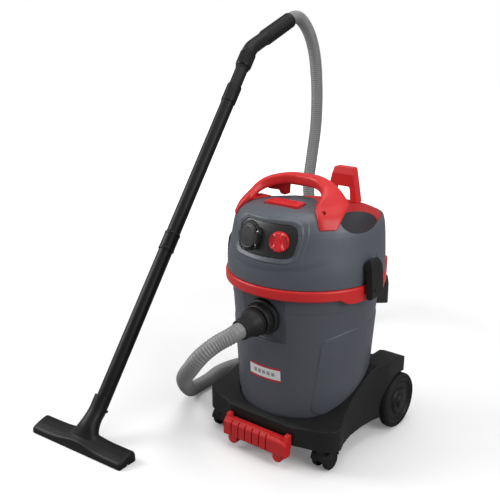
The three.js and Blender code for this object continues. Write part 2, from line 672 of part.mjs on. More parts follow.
// Laid out about its pin, with +X pointing away from the machine.
function latch() {
  const half = LATCH.width / 2;
  const side = [
    [-8, 4], [-8, 54], [-11, 60, 1], [-17.6, 61], [-17.6, 70, 2], [-10, 82, 4], [-3, 83, 4],
    [3.5, 70, 8], [8, 30, 20], [8.6, 0], [8, -4, 3], [4, -8, 3], [-4, -8, 3], [-8, -4, 3],
  ];
  const face = [
    [1 - half, -10], [-half, 24, 8], [-half, 64, 12], [-half + 8, 85, 8], [half - 8, 85, 8],
    [half, 64, 12], [half, 24, 8], [half - 1, -10],
  ];
  const body = solid(frontPrism(side, -half, half)).intersect(solid(sidePrism(face, -30, 30)));
  const back = solid(frontPrism([[-12, 12], [-12, 46], [2, 46], [4, 12]], 4 - half, half - 4));
  const dimple = solid(turned([[0, 5.6], [3.6, 5.6], [3.6, 12], [0, 12]], 10)
    .rotateY(Math.PI / 2).translate(0, -12, 14));
  const bore = solid(rod(2.8, -40, 40, 10).rotateX(Math.PI / 2));
  const [near, far] = LATCH.lug;
  const slots = [[-far, -near], [near, far]].flatMap(([from, to]) => [
    solid(box(-30, 6.4, from - GAP, to + GAP, -30, 4.8)),
    solid(rod(6.6, from - GAP, to + GAP, 12).rotateX(Math.PI / 2)),
  ]);
  return cut(body, back, dimple, bore, ...slots);
}

// ---------------------------------------------------------------- accessory holder
function rearHolder() {
  const block = solid(prism([
    [-124, 118], [124, 118], [124, 188, 14], [100, 222, 12], [-100, 222, 12], [-124, 188, 14],
  ], 292, 366));
  const top = solid(sidePrism([[100, 280], [100, 352], [196, 352], [224, 368], [240, 368], [240, 280]],
    -130, 130));
  const sockets = SIDES.map(([, side]) => solid(rod(18, 280, 380, 12).translate(side * 58, 199, 0)));
  const tankSide = tankForm(-2.4, ROUND, TANK.topZ);
  return cut(block.intersect(top), tankSide, ...sockets);
}

part('rear_holder', rearHolder(), 'black');

// ---------------------------------------------------------------- chassis
const CHASSIS_PLAN = mirrored([
  [0, -172], [95, -172, 4], [108, -167, 6], [138, -160, 10], [168, -152, 12], [186, -134, 10],
  [188, -116, 8], [178, -92, 8], [169, -50, 12], [168, 0, 12], [173, 48, 12], [187, 96, 10],
  [188, 172, 14], [166, 205, 12], [0, 205],
]);
const CHASSIS_SIDE = [
  [-176, 54], [-176, 97, 5], [-160, 104, 5], [-118, 108, 6], [-90, 117, 10], [-20, 154, 12],
  [36, 188, 6], [60, 192, 5], [158, 190, 6], [192, 176, 6], [208, 150, 6], [208, 60],
  [70, 50], [-80, 50],
];

function wheelWell(side, r, from) {
  return solid(rod(r, ...span(side, from, 260), 18).rotateY(Math.PI / 2)
    .translate(0, WHEEL.y, WHEEL.r));
}

function chassis() {
  const outer = solid(prism(CHASSIS_PLAN, 40, 200)).intersect(solid(sidePrism(CHASSIS_SIDE, -200, 200)));
  const seat = joined(tankForm(-2.3, ROUND, TANK.topZ), solid(rod(139, 71.6, 78, ROUND)));
  const wall = 4;
  const hollowPlan = scaledAbout(CHASSIS_PLAN, 1 - wall / 188, 1 - wall / 188, 0, 16)
    .map(([x, y]) => [x, y]);
  const hollowSide = CHASSIS_SIDE
    .map(([y, z]) => [16 + (y - 16) * (1 - wall / 190), z > 60 ? z - wall : 30]);
  const cup = joined(tankForm(-7.5, 16, TANK.topZ), solid(rod(145, 67.5, 78, 16)));
  const keep = SIDES.flatMap(([, side]) => [
    solid(rod(15, 40, 92, 12).translate(side * CASTER.x, CASTER.y, 0)),
    solid(box(...span(side, 122, 163), WHEEL.y - 17, WHEEL.y + 17, 53, 150)),
    solid(box(...span(side, 54, 64), -156, -124, 30, 110)),
    wheelWell(side, 80, 160),
  ]);
  const hollow = cut(
    solid(prism(hollowPlan, 30, 200)).intersect(solid(sidePrism(hollowSide, -200, 200))),
    cup, ...keep,
  );
  const lugs = SIDES.map(([, side]) => solid(sidePrism(
    [[-156, 60], [-151, 40, 6], [-129, 40, 6], [-124, 60]], ...span(side, 54, 64))));
  const bores = SIDES.flatMap(([, side]) => [
    solid(rod(CASTER.stem + 0.5, 30, 80, 10).translate(side * CASTER.x, CASTER.y, 0)),
    solid(rod(WHEEL.axle + 0.4, ...span(side, 125, 220), 12).rotateY(Math.PI / 2)
      .translate(0, WHEEL.y, WHEEL.r)),
    solid(box(...span(side, 42, 53.7), -190, -128, 40, 66)),
  ]);
  const pin = solid(rod(3.4, -90, 90, 10).rotateY(Math.PI / 2).translate(0, PEDAL.pivotY, PEDAL.pivotZ));
  return cut(joined(cut(outer, hollow), ...lugs), seat, pin, ...bores,
    ...SIDES.map(([, side]) => wheelWell(side, 76, 164)));
}

part('chassis', chassis(), 'black');

// ---------------------------------------------------------------- rear wheels
// Laid out about the axle, +Z outwards, standing on the flat between two corners of the rim.
function wheelBody(profile, segments) {
  const reach = 1 / Math.cos(Math.PI / segments);
  return solid(turnedRing(profile.map(([r, z]) => [r * reach, z]), segments, Math.PI / segments));
}

SIDES.forEach(([name, side]) => {
  const hub = frame(side * WHEEL.x, WHEEL.y, WHEEL.r);
  hub.rotation.y = side * (Math.PI / 2);
  const half = WHEEL.width / 2;
  part(`rear_axle_${name}`, solid(turned([
    [0, -55], [WHEEL.axle, -55], [WHEEL.axle, half - 3], [11, half - 3], [11, half - 1],
    [9, half + 1], [0, half + 1],
  ], 12)), 'steel', hub);
  part(`rear_wheel_${name}`, wheelBody([
    [WHEEL.axle + 0.4, 1 - half], [16, 1 - half], [20, -5], [54, -5], [59.5, 2 - half],
    [59.5, half - 1], [55, half - 1], [52, 8], [32, 9], [29, half - 3.4], [WHEEL.axle + 0.4, half - 3.4],
  ], WHEEL.sides), 'black', hub);
  part(`rear_tyre_${name}`, wheelBody([
    [60, -half], [67, -half], [70, 4 - half], [70, half - 4], [67, half], [60, half],
  ], WHEEL.sides), 'rubber', hub);
});

// ---------------------------------------------------------------- front casters
function casterFork() {
  const { trail, r, half, stem } = CASTER;
  const aboutAxle = (geometry) => geometry.rotateY(Math.PI / 2).translate(0, trail, r);
  const hood = cut(
    solid(aboutAxle(rod(r + 3.5, -half, half, 12))),
    solid(aboutAxle(rod(r + 1.8, -half - 1, -5, 12))),
    solid(aboutAxle(rod(r + 1.8, 5, half + 1, 12))),
    solid(box(-40, 40, -60, 60, -10, r + 2)),
  );
  const web = solid(sidePrism([
    [-11, 50], [-8, 30, 6], [6, 14, 6], [trail + 8, 14, 6], [trail + 16, 28, 6], [trail + 10, 49],
  ], -5, 5));
  const post = solid(turned([[0, 30], [11, 44], [11, 51.6], [stem, 51.6], [stem, 76], [0, 76]], 10));
  const wheelSpaces = [[-half - 1, -5.2], [5.2, half + 1]]
    .map(([from, to]) => solid(aboutAxle(rod(r + 1.8, from, to, 12))));
  return cut(joined(hood, web, post), solid(aboutAxle(rod(3.5, -30, 30, 10))), ...wheelSpaces);
}

SIDES.forEach(([name, side]) => {
  const swivel = frame(side * CASTER.x, CASTER.y, 0);
  part(`caster_fork_${name}`, casterFork(), 'black', swivel);
  const axle = frame(0, CASTER.trail, CASTER.r, swivel);
  axle.rotation.y = Math.PI / 2;
  const { r, width, half } = CASTER;
  const inner = half - width - 1;
  const profile = [
    [0, inner], [r - 2, inner], [r, inner + 2], [r, half - 3], [r - 2, half - 1], [0, half - 1],
  ];
  const reach = 1 / Math.cos(Math.PI / 12);
  const disc = () => turned(profile.map(([q, z]) => [q * reach, z]), 12, Math.PI / 12);
  part(`caster_wheels_${name}`, joined(solid(disc()), solid(disc().rotateY(Math.PI)),
    solid(rod(3, -half + 4, half - 4, 10))), 'black', axle);
});

// ---------------------------------------------------------------- brake pedal
const pedalPivot = frame(0, PEDAL.pivotY, PEDAL.pivotZ);

function brakePedal() {
  const { pivotY, pivotZ, halfX } = PEDAL;
  const bar = solid(sidePrism([
    [-200, 32, 3], [-200, 66, 3], [-190, 75, 3], [-177, 75, 2], [-177, 36, 3], [-184, 30, 3],
  ], -halfX, halfX));
  const pitch = 20.6;
  const grooves = Array.from({ length: 6 }, (_, k) => {
    const x = -halfX + 3 + pitch * (k + 1);
    return solid(sidePrism([[-210, 20], [-210, 90], [-186, 90], [-194, 62], [-194, 20]],
      x - 1.6, x + 1.6));
  });
  const bevel = solid(frontPrism([[66, 90], [66, 76], [halfX + 2, 62], [halfX + 9, 90]], -210, -180));
  const scoopOut = solid(box(40, 80, -192, -180, 70, 80));
  const feet = SIDES.map(([, side]) => solid(rod(13.5, 181, 198, 12).rotateX(Math.PI / 2)
    .translate(side * 66, 0, 26)));
  const arms = SIDES.map(([, side]) => solid(sidePrism([
    [-186, 40], [-186, 62, 3], [-150, 58, 8], [-133, 54, 6], [-132, 40, 6], [-146, 36, 6],
  ], ...span(side, 44, 53))));
  const wings = SIDES.map(([, side]) => solid(sidePrism([
    [-194, 66], [-186, 84, 4], [-174.5, 84, 3], [-174.5, 50], [-186, 44],
  ], ...span(side, halfX - 11, halfX))));
  const bore = solid(rod(3.4, -90, 90, 10).rotateY(Math.PI / 2).translate(0, pivotY, pivotZ));
  return cut(joined(cut(bar, ...grooves, bevel, scoopOut), ...feet, ...arms, ...wings), bore)
    .translate([0, -pivotY, -pivotZ]);
}

part('brake_pedal', brakePedal(), 'red', pedalPivot);
part('brake_pivot', solid(rod(3, -67, 67, 10).rotateY(Math.PI / 2)
  .translate(0, PEDAL.pivotY, PEDAL.pivotZ)), 'steel');

// ---------------------------------------------------------------- floor nozzle and wand
const nozzle = frame(NOZZLE.x, NOZZLE.y, 0);
nozzle.rotation.z = NOZZLE.turn;
const wand = frame(0, WAND.footY, 0, nozzle);
wand.rotation.x = -WAND.lean;

// A body laid out along the wand, expressed in the nozzle's frame.
const onWand = (geometry) => solid(geometry.rotateX(-WAND.lean).translate(0, WAND.footY, 0));

function floorNozzle() {
  const half = NOZZLE.length / 2;
  const d = NOZZLE.depth / 2;
  const section = (x, shrink) => {
    const crown = 9 * Math.exp(-((x / 46) ** 2));
    const top = (y, z) => [y * shrink, (z + crown) * shrink];
    return [
      [-d * shrink, 0], [-d * shrink, 11 * shrink], top(-d + 4, 16), top(-8, 22), top(10, 27), top(20, 28),
      top(d - 3, 24), [d * shrink, 16 * shrink], [d * shrink, 0], [0, 0],
    ].map(([y, z]) => vec(x, y, z));
  };
  const stations = [[-half, 0.9], [-half + 4, 1], [-100, 1], [-70, 1], [-50, 1], [-34, 1], [-18, 1], [0, 1]];
  const mirroredStations = stations.slice(0, -1).reverse().map(([x, shrink]) => [-x, shrink]);
  const wedge = solid(loft([...stations, ...mirroredStations].map(([x, shrink]) => section(x, shrink))));
  const neck = solid(loft([
    [[0, 4, 10], [64, 0, 0], [0, 23, 0]],
    [[0, 8, 24], [50, 0, 0], [0, 22, -1]],
    [[0, 16, 34], [35, 0, 0], [0, 22, -5]],
    [[0, 27, 46], [26.5, 0, 0], [0, 21, -10]],
    [[0, 39, 57], [22.8, 0, 0], [0, 18, -12]],
    [[0, 55, 71.5], [21.8, 0, 0], [0, 16.9, -12.9]],
    [[0, 77.1, 99.6], [21.4, 0, 0], [0, 16.9, -13.1]],
  ].map(([centre, a, b]) => superellipse(vec(...centre), vec(...a), vec(...b), 12, 2))));
  const bore = onWand(rod(16.4, 22, 160, 12));
  const socket = onWand(rod(WAND.r + 0.6, 80, 160, 16));
  const throat = solid(box(-30, 30, -10, 20, -1, 22));
  const slot = solid(box(-132, 132, -12, 10, -1, 8));
  const lips = [[-25, -20.6], [17, 21.4]].map(([y0, y1]) => solid(box(-138, 138, y0, y1, -1, 8)));
  const belowFloor = solid(box(-200, 200, -60, 120, -40, 0));
  return cut(joined(wedge, neck), bore, socket, throat, slot, ...lips, belowFloor);
}

part('floor_nozzle', floorNozzle(), 'black', nozzle);
[['front', -24.7, -20.9], ['rear', 17.3, 21.1]].forEach(([name, y0, y1]) => {
  part(`nozzle_lip_${name}`, solid(box(-137.7, 137.7, y0, y1, 0.4, 7.7)), 'rubber', nozzle);
});

const { r: tubeR, wall: tubeWall } = WAND;
part('lower_tube', solid(ring(tubeR - tubeWall, tubeR, 80.3, 567, 16)), 'black', wand);
part('upper_tube', solid(turnedRing([
  [tubeR + 0.4, 520], [21.2, 520], [21.2, 570], [tubeR, 572], [tubeR, 966], [20.7, 968],
  [20.7, 1020], [tubeR - tubeWall, 1020], [tubeR - tubeWall, 567.3], [tubeR + 0.4, 567.3],
], 16)), 'black', wand);

// A skin of round sections along the wand's line, which bends at the hand grip. Each section
// is its distance along that line and its radius.
function bentSkin(sections, count = 10) {
  const { bend, bendAt } = GRIP;
  const radius = 60;
  const reach = radius * Math.tan(bend / 2);
  const start = bendAt - reach;
  const spine = (s) => {
    const swept = THREE.MathUtils.clamp((s - start) / radius, 0, bend);
    const along = s - start - swept * radius;
    const [sin, cos] = [Math.sin(swept), Math.cos(swept)];
    const before = Math.min(along, 0);
    const after = Math.max(along, 0);
    return {
      centre: vec(0, radius * (1 - cos) + after * sin, start + before + radius * sin + after * cos),
      side: vec(0, cos, -sin),
    };
  };
  return solid(loft(sections.map(([s, r]) => {
    const { centre, side } = spine(s);
    return superellipse(centre, vec(r, 0, 0), side.multiplyScalar(r), count, 2);
  })));
}

const grip = frame(0, 0, 0, wand);
grip.rotation.z = GRIP.twist;
const bendRun = (r) => [1128, 1138, 1148, 1158].map((s) => [s, r]);
const gripEnd = GRIP.bendAt + GRIP.length;

function handGrip() {
  const ribs = Array.from({ length: 7 }, (_, k) => {
    const s = gripEnd - 112 + k * 15;
    return [[s, 20.6], [s + 6, 22.9]];
  }).flat();
  const outside = bentSkin([
    [986, 16.6], [1020, 16.6], [1020.4, 17.5], [1075, 17.5], [1075.4, 19.4], [1079.4, 19.4], [1079.8, 17.5],
    [1125.6, 17.5], [1126, 20.4], ...bendRun(20.2), [1216, 19.8], ...ribs,
    [gripEnd - 3, 22.2], [gripEnd, 21],
  ]);
  const inside = bentSkin([
    [970, HOSE.bore - 0.8], [1126, HOSE.bore - 0.8], ...bendRun(HOSE.bore - 0.8),
    [gripEnd - 20, HOSE.bore - 0.8], [gripEnd - 19.8, HOSE.r + 1.3], [gripEnd + 20, HOSE.r + 1.3],
  ]);
  const bleedPort = solid(box(-4, 4, 10, 30, 1096, 1110));
  return cut(outside, inside, bleedPort);
}

part('hand_grip', handGrip(), 'black', grip);
part('bleed_ring', cut(solid(turnedRing([
  [18, 1080.2], [20, 1080.2], [22.4, 1085], [22.4, 1125], [18, 1125],
], 20)), solid(box(-5, 5, 10, 30, 1096, 1110).rotateZ(-60 * DEG))), 'black', grip);

// ---------------------------------------------------------------- hose
// The middle line of the hose, from its seat in the machine's cuff to its seat in the grip.
const HOSE_ROUTE = [
  [0, -228, 341], [0, -247.7, 339.3], [-0.5, -266, 337.5], [-5, -281, 333], [-14, -297, 326],
  [-25, -317, 314], [-36, -331, 300], [-48, -336.5, 284], [-70, -332, 258], [-99, -316, 229],
  [-181, -237, 157], [-266, -137, 72], [-303, -85, 34], [-320, -48, 21.5], [-324, 6, 20],
  [-334, 62, 20], [-326, 120, 20], [-300, 180, 20], [-262, 240, 20], [-232, 310, 20],
  [-226, 390, 20], [-240, 470, 20.5], [-270, 550, 28], [-310, 612, 65], [-350, 638, 140],
  [-384, 636, 230], [-398, 618, 320], [-400, 598, 400], [-400, 588, 470], [-400, 604, 560],
  [-400, 621, 650], [-400, 624, 740], [-400, 618, 810], [-400, 604, 876], [-400, 580, 928],
  [-400, 550, 963], [-400, 518, 983], [-399.5, 489, 984.5], [-399, 468.9, 977.4], [-399, 450.9, 970.3],
];

// A plain tube with its bore, with a ring wherever the line has turned or run on far enough.
function hose() {
  const curve = new THREE.CatmullRomCurve3(HOSE_ROUTE.map((p) => vec(...p)), false, 'centripetal');
  curve.arcLengthDivisions = 4000;
  const fine = 1200;
  const { tangents, normals, binormals } = curve.computeFrenetFrames(fine, false);
  const step = curve.getLength() / fine;
  const stations = [0];
  for (let i = 1; i < fine; i += 1) {
    const last = stations.at(-1);
    const swept = tangents[i].angleTo(tangents[last]);
    if (swept > 12 * DEG || (i - last) * step > 80) stations.push(i);
  }
  stations.push(fine);
  const skin = (r) => solid(loft(stations.map((i) => superellipse(
    curve.getPointAt(i / fine),
    normals[i].clone().multiplyScalar(r), binormals[i].clone().multiplyScalar(r), 8, 2,
  ))));
  const length = curve.getLength();
  const points = Array.from({ length: 601 }, (_, i) => curve.getPointAt(i / 600));
  let nearest = Infinity;
  for (let i = 0; i < points.length; i += 1) {
    for (let j = i + 30; j < points.length; j += 1) {
      nearest = Math.min(nearest, points[i].distanceTo(points[j]));
    }
  }
  console.log(`hose length ${length.toFixed(0)} mm, least gap ${(nearest - 2 * HOSE.r).toFixed(1)} mm`);
  return cut(skin(HOSE.r), skin(HOSE.bore));
}

part('hose', hose(), 'hoseGrey');

// ---------------------------------------------------------------- placing
// The origin is the bottom centre of everything but the hose.
const bounds = new THREE.Box3();
machine.updateWorldMatrix(true, true);
machine.traverse((node) => {
  if (node.isMesh && node.name !== 'hose') bounds.expandByObject(node, true);
});
const middle = bounds.getCenter(new THREE.Vector3());
machine.position.set(-middle.x, -middle.y, -bounds.min.z);
machine.name = 'shop_vacuum';

export default machine;
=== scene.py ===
"""A wet and dry shop vacuum, dressed piece by piece in the order in which it is put together."""
from math import atan, cos, exp, hypot, pi, radians, sin, tan

import bmesh
import bpy
from mathutils import Matrix, Vector


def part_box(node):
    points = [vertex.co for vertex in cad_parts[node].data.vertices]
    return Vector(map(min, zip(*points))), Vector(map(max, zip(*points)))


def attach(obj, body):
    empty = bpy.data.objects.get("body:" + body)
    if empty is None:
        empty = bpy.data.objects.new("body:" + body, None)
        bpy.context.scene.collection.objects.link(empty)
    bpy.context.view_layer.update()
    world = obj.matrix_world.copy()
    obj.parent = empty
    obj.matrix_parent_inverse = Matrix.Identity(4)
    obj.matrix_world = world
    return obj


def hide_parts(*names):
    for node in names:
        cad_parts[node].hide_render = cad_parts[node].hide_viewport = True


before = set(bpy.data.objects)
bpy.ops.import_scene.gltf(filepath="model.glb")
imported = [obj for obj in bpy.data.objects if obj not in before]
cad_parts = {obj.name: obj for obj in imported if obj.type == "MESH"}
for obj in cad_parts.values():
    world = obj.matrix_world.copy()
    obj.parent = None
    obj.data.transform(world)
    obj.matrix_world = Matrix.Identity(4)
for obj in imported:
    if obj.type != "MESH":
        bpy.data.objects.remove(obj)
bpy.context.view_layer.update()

# ---------------------------------------------------------------- camera, floor and light
# The machine is laid out about the axis of its tank, in millimetres, with its front towards -Y.
# It stands on a plain pale floor under large soft lamps, seen from above and to its right.
rim_low, rim_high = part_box("rim_gasket")
TANK_AXIS = Vector(((rim_low.x + rim_high.x) / 2, (rim_low.y + rim_high.y) / 2, 0))
TO_ROW = Matrix.Translation(TANK_AXIS) @ Matrix.Scale(0.001, 4)

CAMERA_PLACE = Vector((990.5, -1442.3, 1004.7))
CAMERA_WAY = Vector((-0.5988, 0.744, -0.2964))
FOCAL_LENGTH, SENSOR_WIDTH = 55.6, 36
LAMPS = [
    ("left_lamp", (-2300, -1300, 1800), 1.6, 48),
    ("right_lamp", (2400, -300, 1700), 1.6, 36),
    ("top_lamp", (100, 200, 2900), 2.2, 34),
]
LAMPS_AIM = Vector((0, 0, 330))
WHITE = (1, 1, 1, 1)

scene = bpy.context.scene
lens = bpy.data.cameras.new("camera")
lens.sensor_width = SENSOR_WIDTH
lens.lens = FOCAL_LENGTH
camera = bpy.data.objects.new("camera", lens)
camera.location = TO_ROW @ CAMERA_PLACE
camera.rotation_euler = CAMERA_WAY.to_track_quat("-Z", "Y").to_euler()
scene.collection.objects.link(camera)
scene.camera = camera
scene.view_settings.view_transform = "Standard"


def set_inputs(node, **values):
    """Sets a shader node's inputs, named with underscores for spaces, and returns the node."""
    for label, value in values.items():
        node.inputs[label.replace("_", " ")].default_value = value
    return node


# To the camera the room is a white wall, and on the part it throws a weaker light.
world = bpy.data.worlds.new("studio")
world.use_nodes = True
sky_nodes, sky_links = world.node_tree.nodes, world.node_tree.links
room_light = sky_nodes["Background"]
white_wall = sky_nodes.new("ShaderNodeBackground")
set_inputs(room_light, Color=WHITE, Strength=0.3)
set_inputs(white_wall, Color=WHITE)
sight = sky_nodes.new("ShaderNodeLightPath")
wall_or_room = sky_nodes.new("ShaderNodeMixShader")
sky_links.new(sight.outputs["Is Camera Ray"], wall_or_room.inputs["Fac"])
sky_links.new(room_light.outputs["Background"], wall_or_room.inputs[1])
sky_links.new(white_wall.outputs["Background"], wall_or_room.inputs[2])
sky_links.new(wall_or_room.outputs["Shader"], sky_nodes["World Output"].inputs["Surface"])
scene.world = world

for name, place, size, power in LAMPS:
    lamp = bpy.data.lights.new(name, "AREA")
    lamp.size = size
    lamp.energy = power
    holder = bpy.data.objects.new(name, lamp)
    holder.location = TO_ROW @ Vector(place)
    aim = TO_ROW @ LAMPS_AIM - holder.location
    holder.rotation_euler = aim.to_track_quat("-Z", "Y").to_euler()
    scene.collection.objects.link(holder)


def new_material(name):
    """A material and its nodes: the shader, and the object's own coordinates."""
    material = bpy.data.materials.new(name)
    material.use_nodes = True
    nodes = material.node_tree.nodes
    coordinates = nodes.new("ShaderNodeTexCoord")
    return material, nodes, material.node_tree.links, nodes["Principled BSDF"], coordinates


# The floor is white paper that runs on into the white wall, more evenly lit away from the part.
floor_finish, nodes, links, shader, coordinates = new_material("studio_floor")
set_inputs(shader, Roughness=0.7, Specular_IOR_Level=0.1, Emission_Color=WHITE)
sight = nodes.new("ShaderNodeLightPath")
paper = set_inputs(nodes.new("ShaderNodeMapRange"), To_Min=0.35, To_Max=0.93)
links.new(sight.outputs["Is Camera Ray"], paper.inputs["Value"])
links.new(paper.outputs["Result"], shader.inputs["Base Color"])
distance = nodes.new("ShaderNodeVectorMath")
distance.operation = "LENGTH"
links.new(coordinates.outputs["Object"], distance.inputs[0])
glow = set_inputs(nodes.new("ShaderNodeMapRange"), From_Min=0.9, From_Max=2.4, To_Min=0.12)
links.new(distance.outputs["Value"], glow.inputs["Value"])
even_light = nodes.new("ShaderNodeMath")
even_light.operation = "MULTIPLY"
links.new(glow.outputs["Result"], even_light.inputs[0])
links.new(sight.outputs["Is Camera Ray"], even_light.inputs[1])
links.new(even_light.outputs["Value"], shader.inputs["Emission Strength"])
floor_mesh = bpy.data.meshes.new("studio_floor")
half = 9
floor_corners = [(-half, -half, 0), (half, -half, 0), (half, half, 0), (-half, half, 0)]
floor_mesh.from_pydata(floor_corners, [], [(0, 1, 2, 3)])
floor_mesh.materials.append(floor_finish)
floor = bpy.data.objects.new("studio_floor", floor_mesh)
scene.collection.objects.link(floor)

# ---------------------------------------------------------------- suction hose
# A corrugated plastic hose of 38 mm, 2.4 m long, held by a cuff at each end. Fine ribs stand
# round a smooth bore. It drops past the tank's left side to the floor, runs behind the machine
# and rises to the hand grip.
HOSE_RADIUS = 19.0
HOSE_ROOT = 17.6
HOSE_BORE = 15.5
HOSE_PITCH = 6.2
HOSE_ROUTE = [
    (0, -228, 341), (0, -247.7, 339.3), (-0.5, -266, 337.5), (-5, -281, 333), (-14, -297, 326),
    (-25, -317, 314), (-36, -331, 300), (-48, -336.5, 284), (-70, -332, 258), (-99, -316, 229),
    (-181, -237, 157), (-266, -137, 72), (-303, -85, 34), (-320, -48, 21.5), (-324, 6, 20),
    (-334, 62, 20), (-326, 120, 20), (-300, 180, 20), (-262, 240, 20), (-232, 310, 20),
    (-226, 390, 20), (-240, 470, 20.5), (-270, 550, 28), (-310, 612, 65), (-350, 638, 140),
    (-384, 636, 230), (-398, 618, 320), (-400, 598, 400), (-400, 588, 470), (-400, 604, 560),
    (-400, 621, 650), (-400, 624, 740), (-400, 618, 810), (-400, 604, 876), (-400, 580, 928),
    (-400, 550, 963), (-400, 518, 983), (-399.5, 489, 984.5), (-399, 468.9, 977.4),
    (-399, 450.9, 970.3),
]


def smooth_route(points, per_span=24):
    """Points along the smooth line that passes through the given ones."""
    points = [Vector(p) for p in points]
    points = [2 * points[0] - points[1], *points, 2 * points[-1] - points[-2]]
    route = []
    for a, b, c, d in zip(points, points[1:], points[2:], points[3:]):
        ta, tb, tc = ((q - p).length ** 0.5 for p, q in ((a, b), (b, c), (c, d)))
        leave = ((b - a) / ta - (c - a) / (ta + tb) + (c - b) / tb) * tb
        reach = ((c - b) / tb - (d - b) / (tb + tc) + (d - c) / tc) * tb
        for k in range(per_span):
            t = k / per_span
            route.append(
                b * (2 * t**3 - 3 * t**2 + 1) + leave * (t**3 - 2 * t**2 + t)
                + c * (3 * t**2 - 2 * t**3) + reach * (t**3 - t**2)
            )
    return [*route, points[-2]]


hose_path = [TO_ROW @ p for p in smooth_route(HOSE_ROUTE)]
hose_length = sum((b - a).length for a, b in zip(hose_path, hose_path[1:]))

hose_line = bpy.data.curves.new("hose_line", "CURVE")
hose_line.dimensions = "3D"
spline = hose_line.splines.new("POLY")
spline.points.add(len(hose_path) - 1)
for point, place in zip(spline.points, hose_path):
    point.co = (*place, 1)
hose_guide = bpy.data.objects.new("hose_line", hose_line)
scene.collection.objects.link(hose_guide)


def node_tree(name, **inputs):
    """A Geometry Nodes tree with a geometry input, named number inputs and a material."""
    tree = bpy.data.node_groups.new(name, "GeometryNodeTree")
    tree.interface.new_socket("Geometry", in_out="INPUT", socket_type="NodeSocketGeometry")
    for label, value in inputs.items():
        kind = "NodeSocketInt" if isinstance(value, int) else "NodeSocketFloat"
        socket = tree.interface.new_socket(label, in_out="INPUT", socket_type=kind)
        socket.default_value = value
    tree.interface.new_socket("Material", in_out="INPUT", socket_type="NodeSocketMaterial")
    tree.interface.new_socket("Geometry", in_out="OUTPUT", socket_type="NodeSocketGeometry")
    given = tree.nodes.new("NodeGroupInput")
    result = tree.nodes.new("NodeGroupOutput")

    def node(kind, *sources, **settings):
        """A node of that kind, with its inputs joined or set in order."""
        made = tree.nodes.new(kind)
        for key, value in settings.items():
            setattr(made, key, value)
        sockets = [s for s in made.inputs if s.enabled and not s.is_unavailable]
        for socket, source in zip(sockets, sources):
            if isinstance(source, bpy.types.NodeSocket):
                tree.links.new(source, socket)
            elif source is not None:
                socket.default_value = source
        return next(s for s in made.outputs if s.enabled)

    def math(operation, *sources):
        return node("ShaderNodeMath", *sources, operation=operation)

    def end(geometry):
        """The tree's last steps: real copies, and the piece's own material."""
        real = node("GeometryNodeRealizeInstances", geometry)
        finished = node("GeometryNodeSetMaterial", real, True, given.outputs["Material"])
        tree.links.new(finished, result.inputs["Geometry"])

    return tree, given.outputs, node, math, end


def plain_mesh(made):
    """The mesh that an object's modifiers leave."""
    graph = bpy.context.evaluated_depsgraph_get()
    return bpy.data.meshes.new_from_object(made.evaluated_get(graph))


def grown(name, guide, tree, material):
    """The plain mesh that a tree grows on its guide object."""
    modifier = guide.modifiers.new(name, "NODES")
    modifier.node_group = tree
    socket = next(s for s in tree.interface.items_tree if s.name == "Material")
    modifier[socket.identifier] = material
    mesh = plain_mesh(guide)
    guide.modifiers.clear()
    bpy.data.objects.remove(guide)
    piece = bpy.data.objects.new(name, mesh)
    scene.collection.objects.link(piece)
    return piece


# Rows of points stand round the line: first the ribs from end to end, then the bore back again.
rib_rows = int(hose_length * 1000 / HOSE_PITCH) * 4
tree, given, node, math, end = node_tree(
    "ribbed_hose", Ribs=rib_rows, Bore=240, Sides=24, Radius=HOSE_RADIUS / 1000,
    Root=HOSE_ROOT / 1000, Inside=HOSE_BORE / 1000,
)
rows = math("ADD", given["Ribs"], given["Bore"])
around = math("ADD", given["Sides"], 1.0)
sheet = node("GeometryNodeMeshGrid", 1.0, 1.0, math("ADD", rows, 1.0), around)
point = node("GeometryNodeInputIndex")
row = math("MODULO", math("FLOOR", math("DIVIDE", point, around)), rows)
column = math("MODULO", point, around)
outside = math("LESS_THAN", row, given["Ribs"])
forth = math("DIVIDE", row, math("SUBTRACT", given["Ribs"], 1.0))
bore_row = math("SUBTRACT", row, given["Ribs"])
back = math("SUBTRACT", 1.0, math("DIVIDE", bore_row, math("SUBTRACT", given["Bore"], 1.0)))
factor = node("ShaderNodeMix", outside, back, forth)
wave = math("COSINE", math("MULTIPLY", row, pi / 2))
wave = node("ShaderNodeMapRange", wave, -1.0, 1.0, given["Root"], given["Radius"])
reach = node("ShaderNodeMix", outside, given["Inside"], wave)
line = node("GeometryNodeSampleCurve", given["Geometry"], None, factor, mode="FACTOR",
            use_all_curves=True).node.outputs
angle = math("MULTIPLY", math("DIVIDE", column, given["Sides"]), -2 * pi)
spoke = node("ShaderNodeVectorRotate", line["Normal"], (0, 0, 0), line["Tangent"], angle)
spoke = node("ShaderNodeVectorMath", spoke, reach, operation="SCALE")
seat = node("ShaderNodeVectorMath", line["Position"], spoke, operation="ADD")
skin = node("GeometryNodeSetPosition", sheet, True, seat)
end(node("GeometryNodeMergeByDistance", skin, True, 0.00005))


def noise_of(nodes, links, coordinates, **values):
    """A noise on the object's own coordinates."""
    made = set_inputs(nodes.new("ShaderNodeTexNoise"), **values)
    links.new(coordinates.outputs["Object"], made.inputs["Vector"])
    return made.outputs["Fac"]


def bumped(nodes, links, shader, height, strength, distance):
    """Gives the shader a fine relief."""
    relief = set_inputs(nodes.new("ShaderNodeBump"), Strength=strength, Distance=distance)
    links.new(height, relief.inputs["Height"])
    links.new(relief.outputs["Normal"], shader.inputs["Normal"])


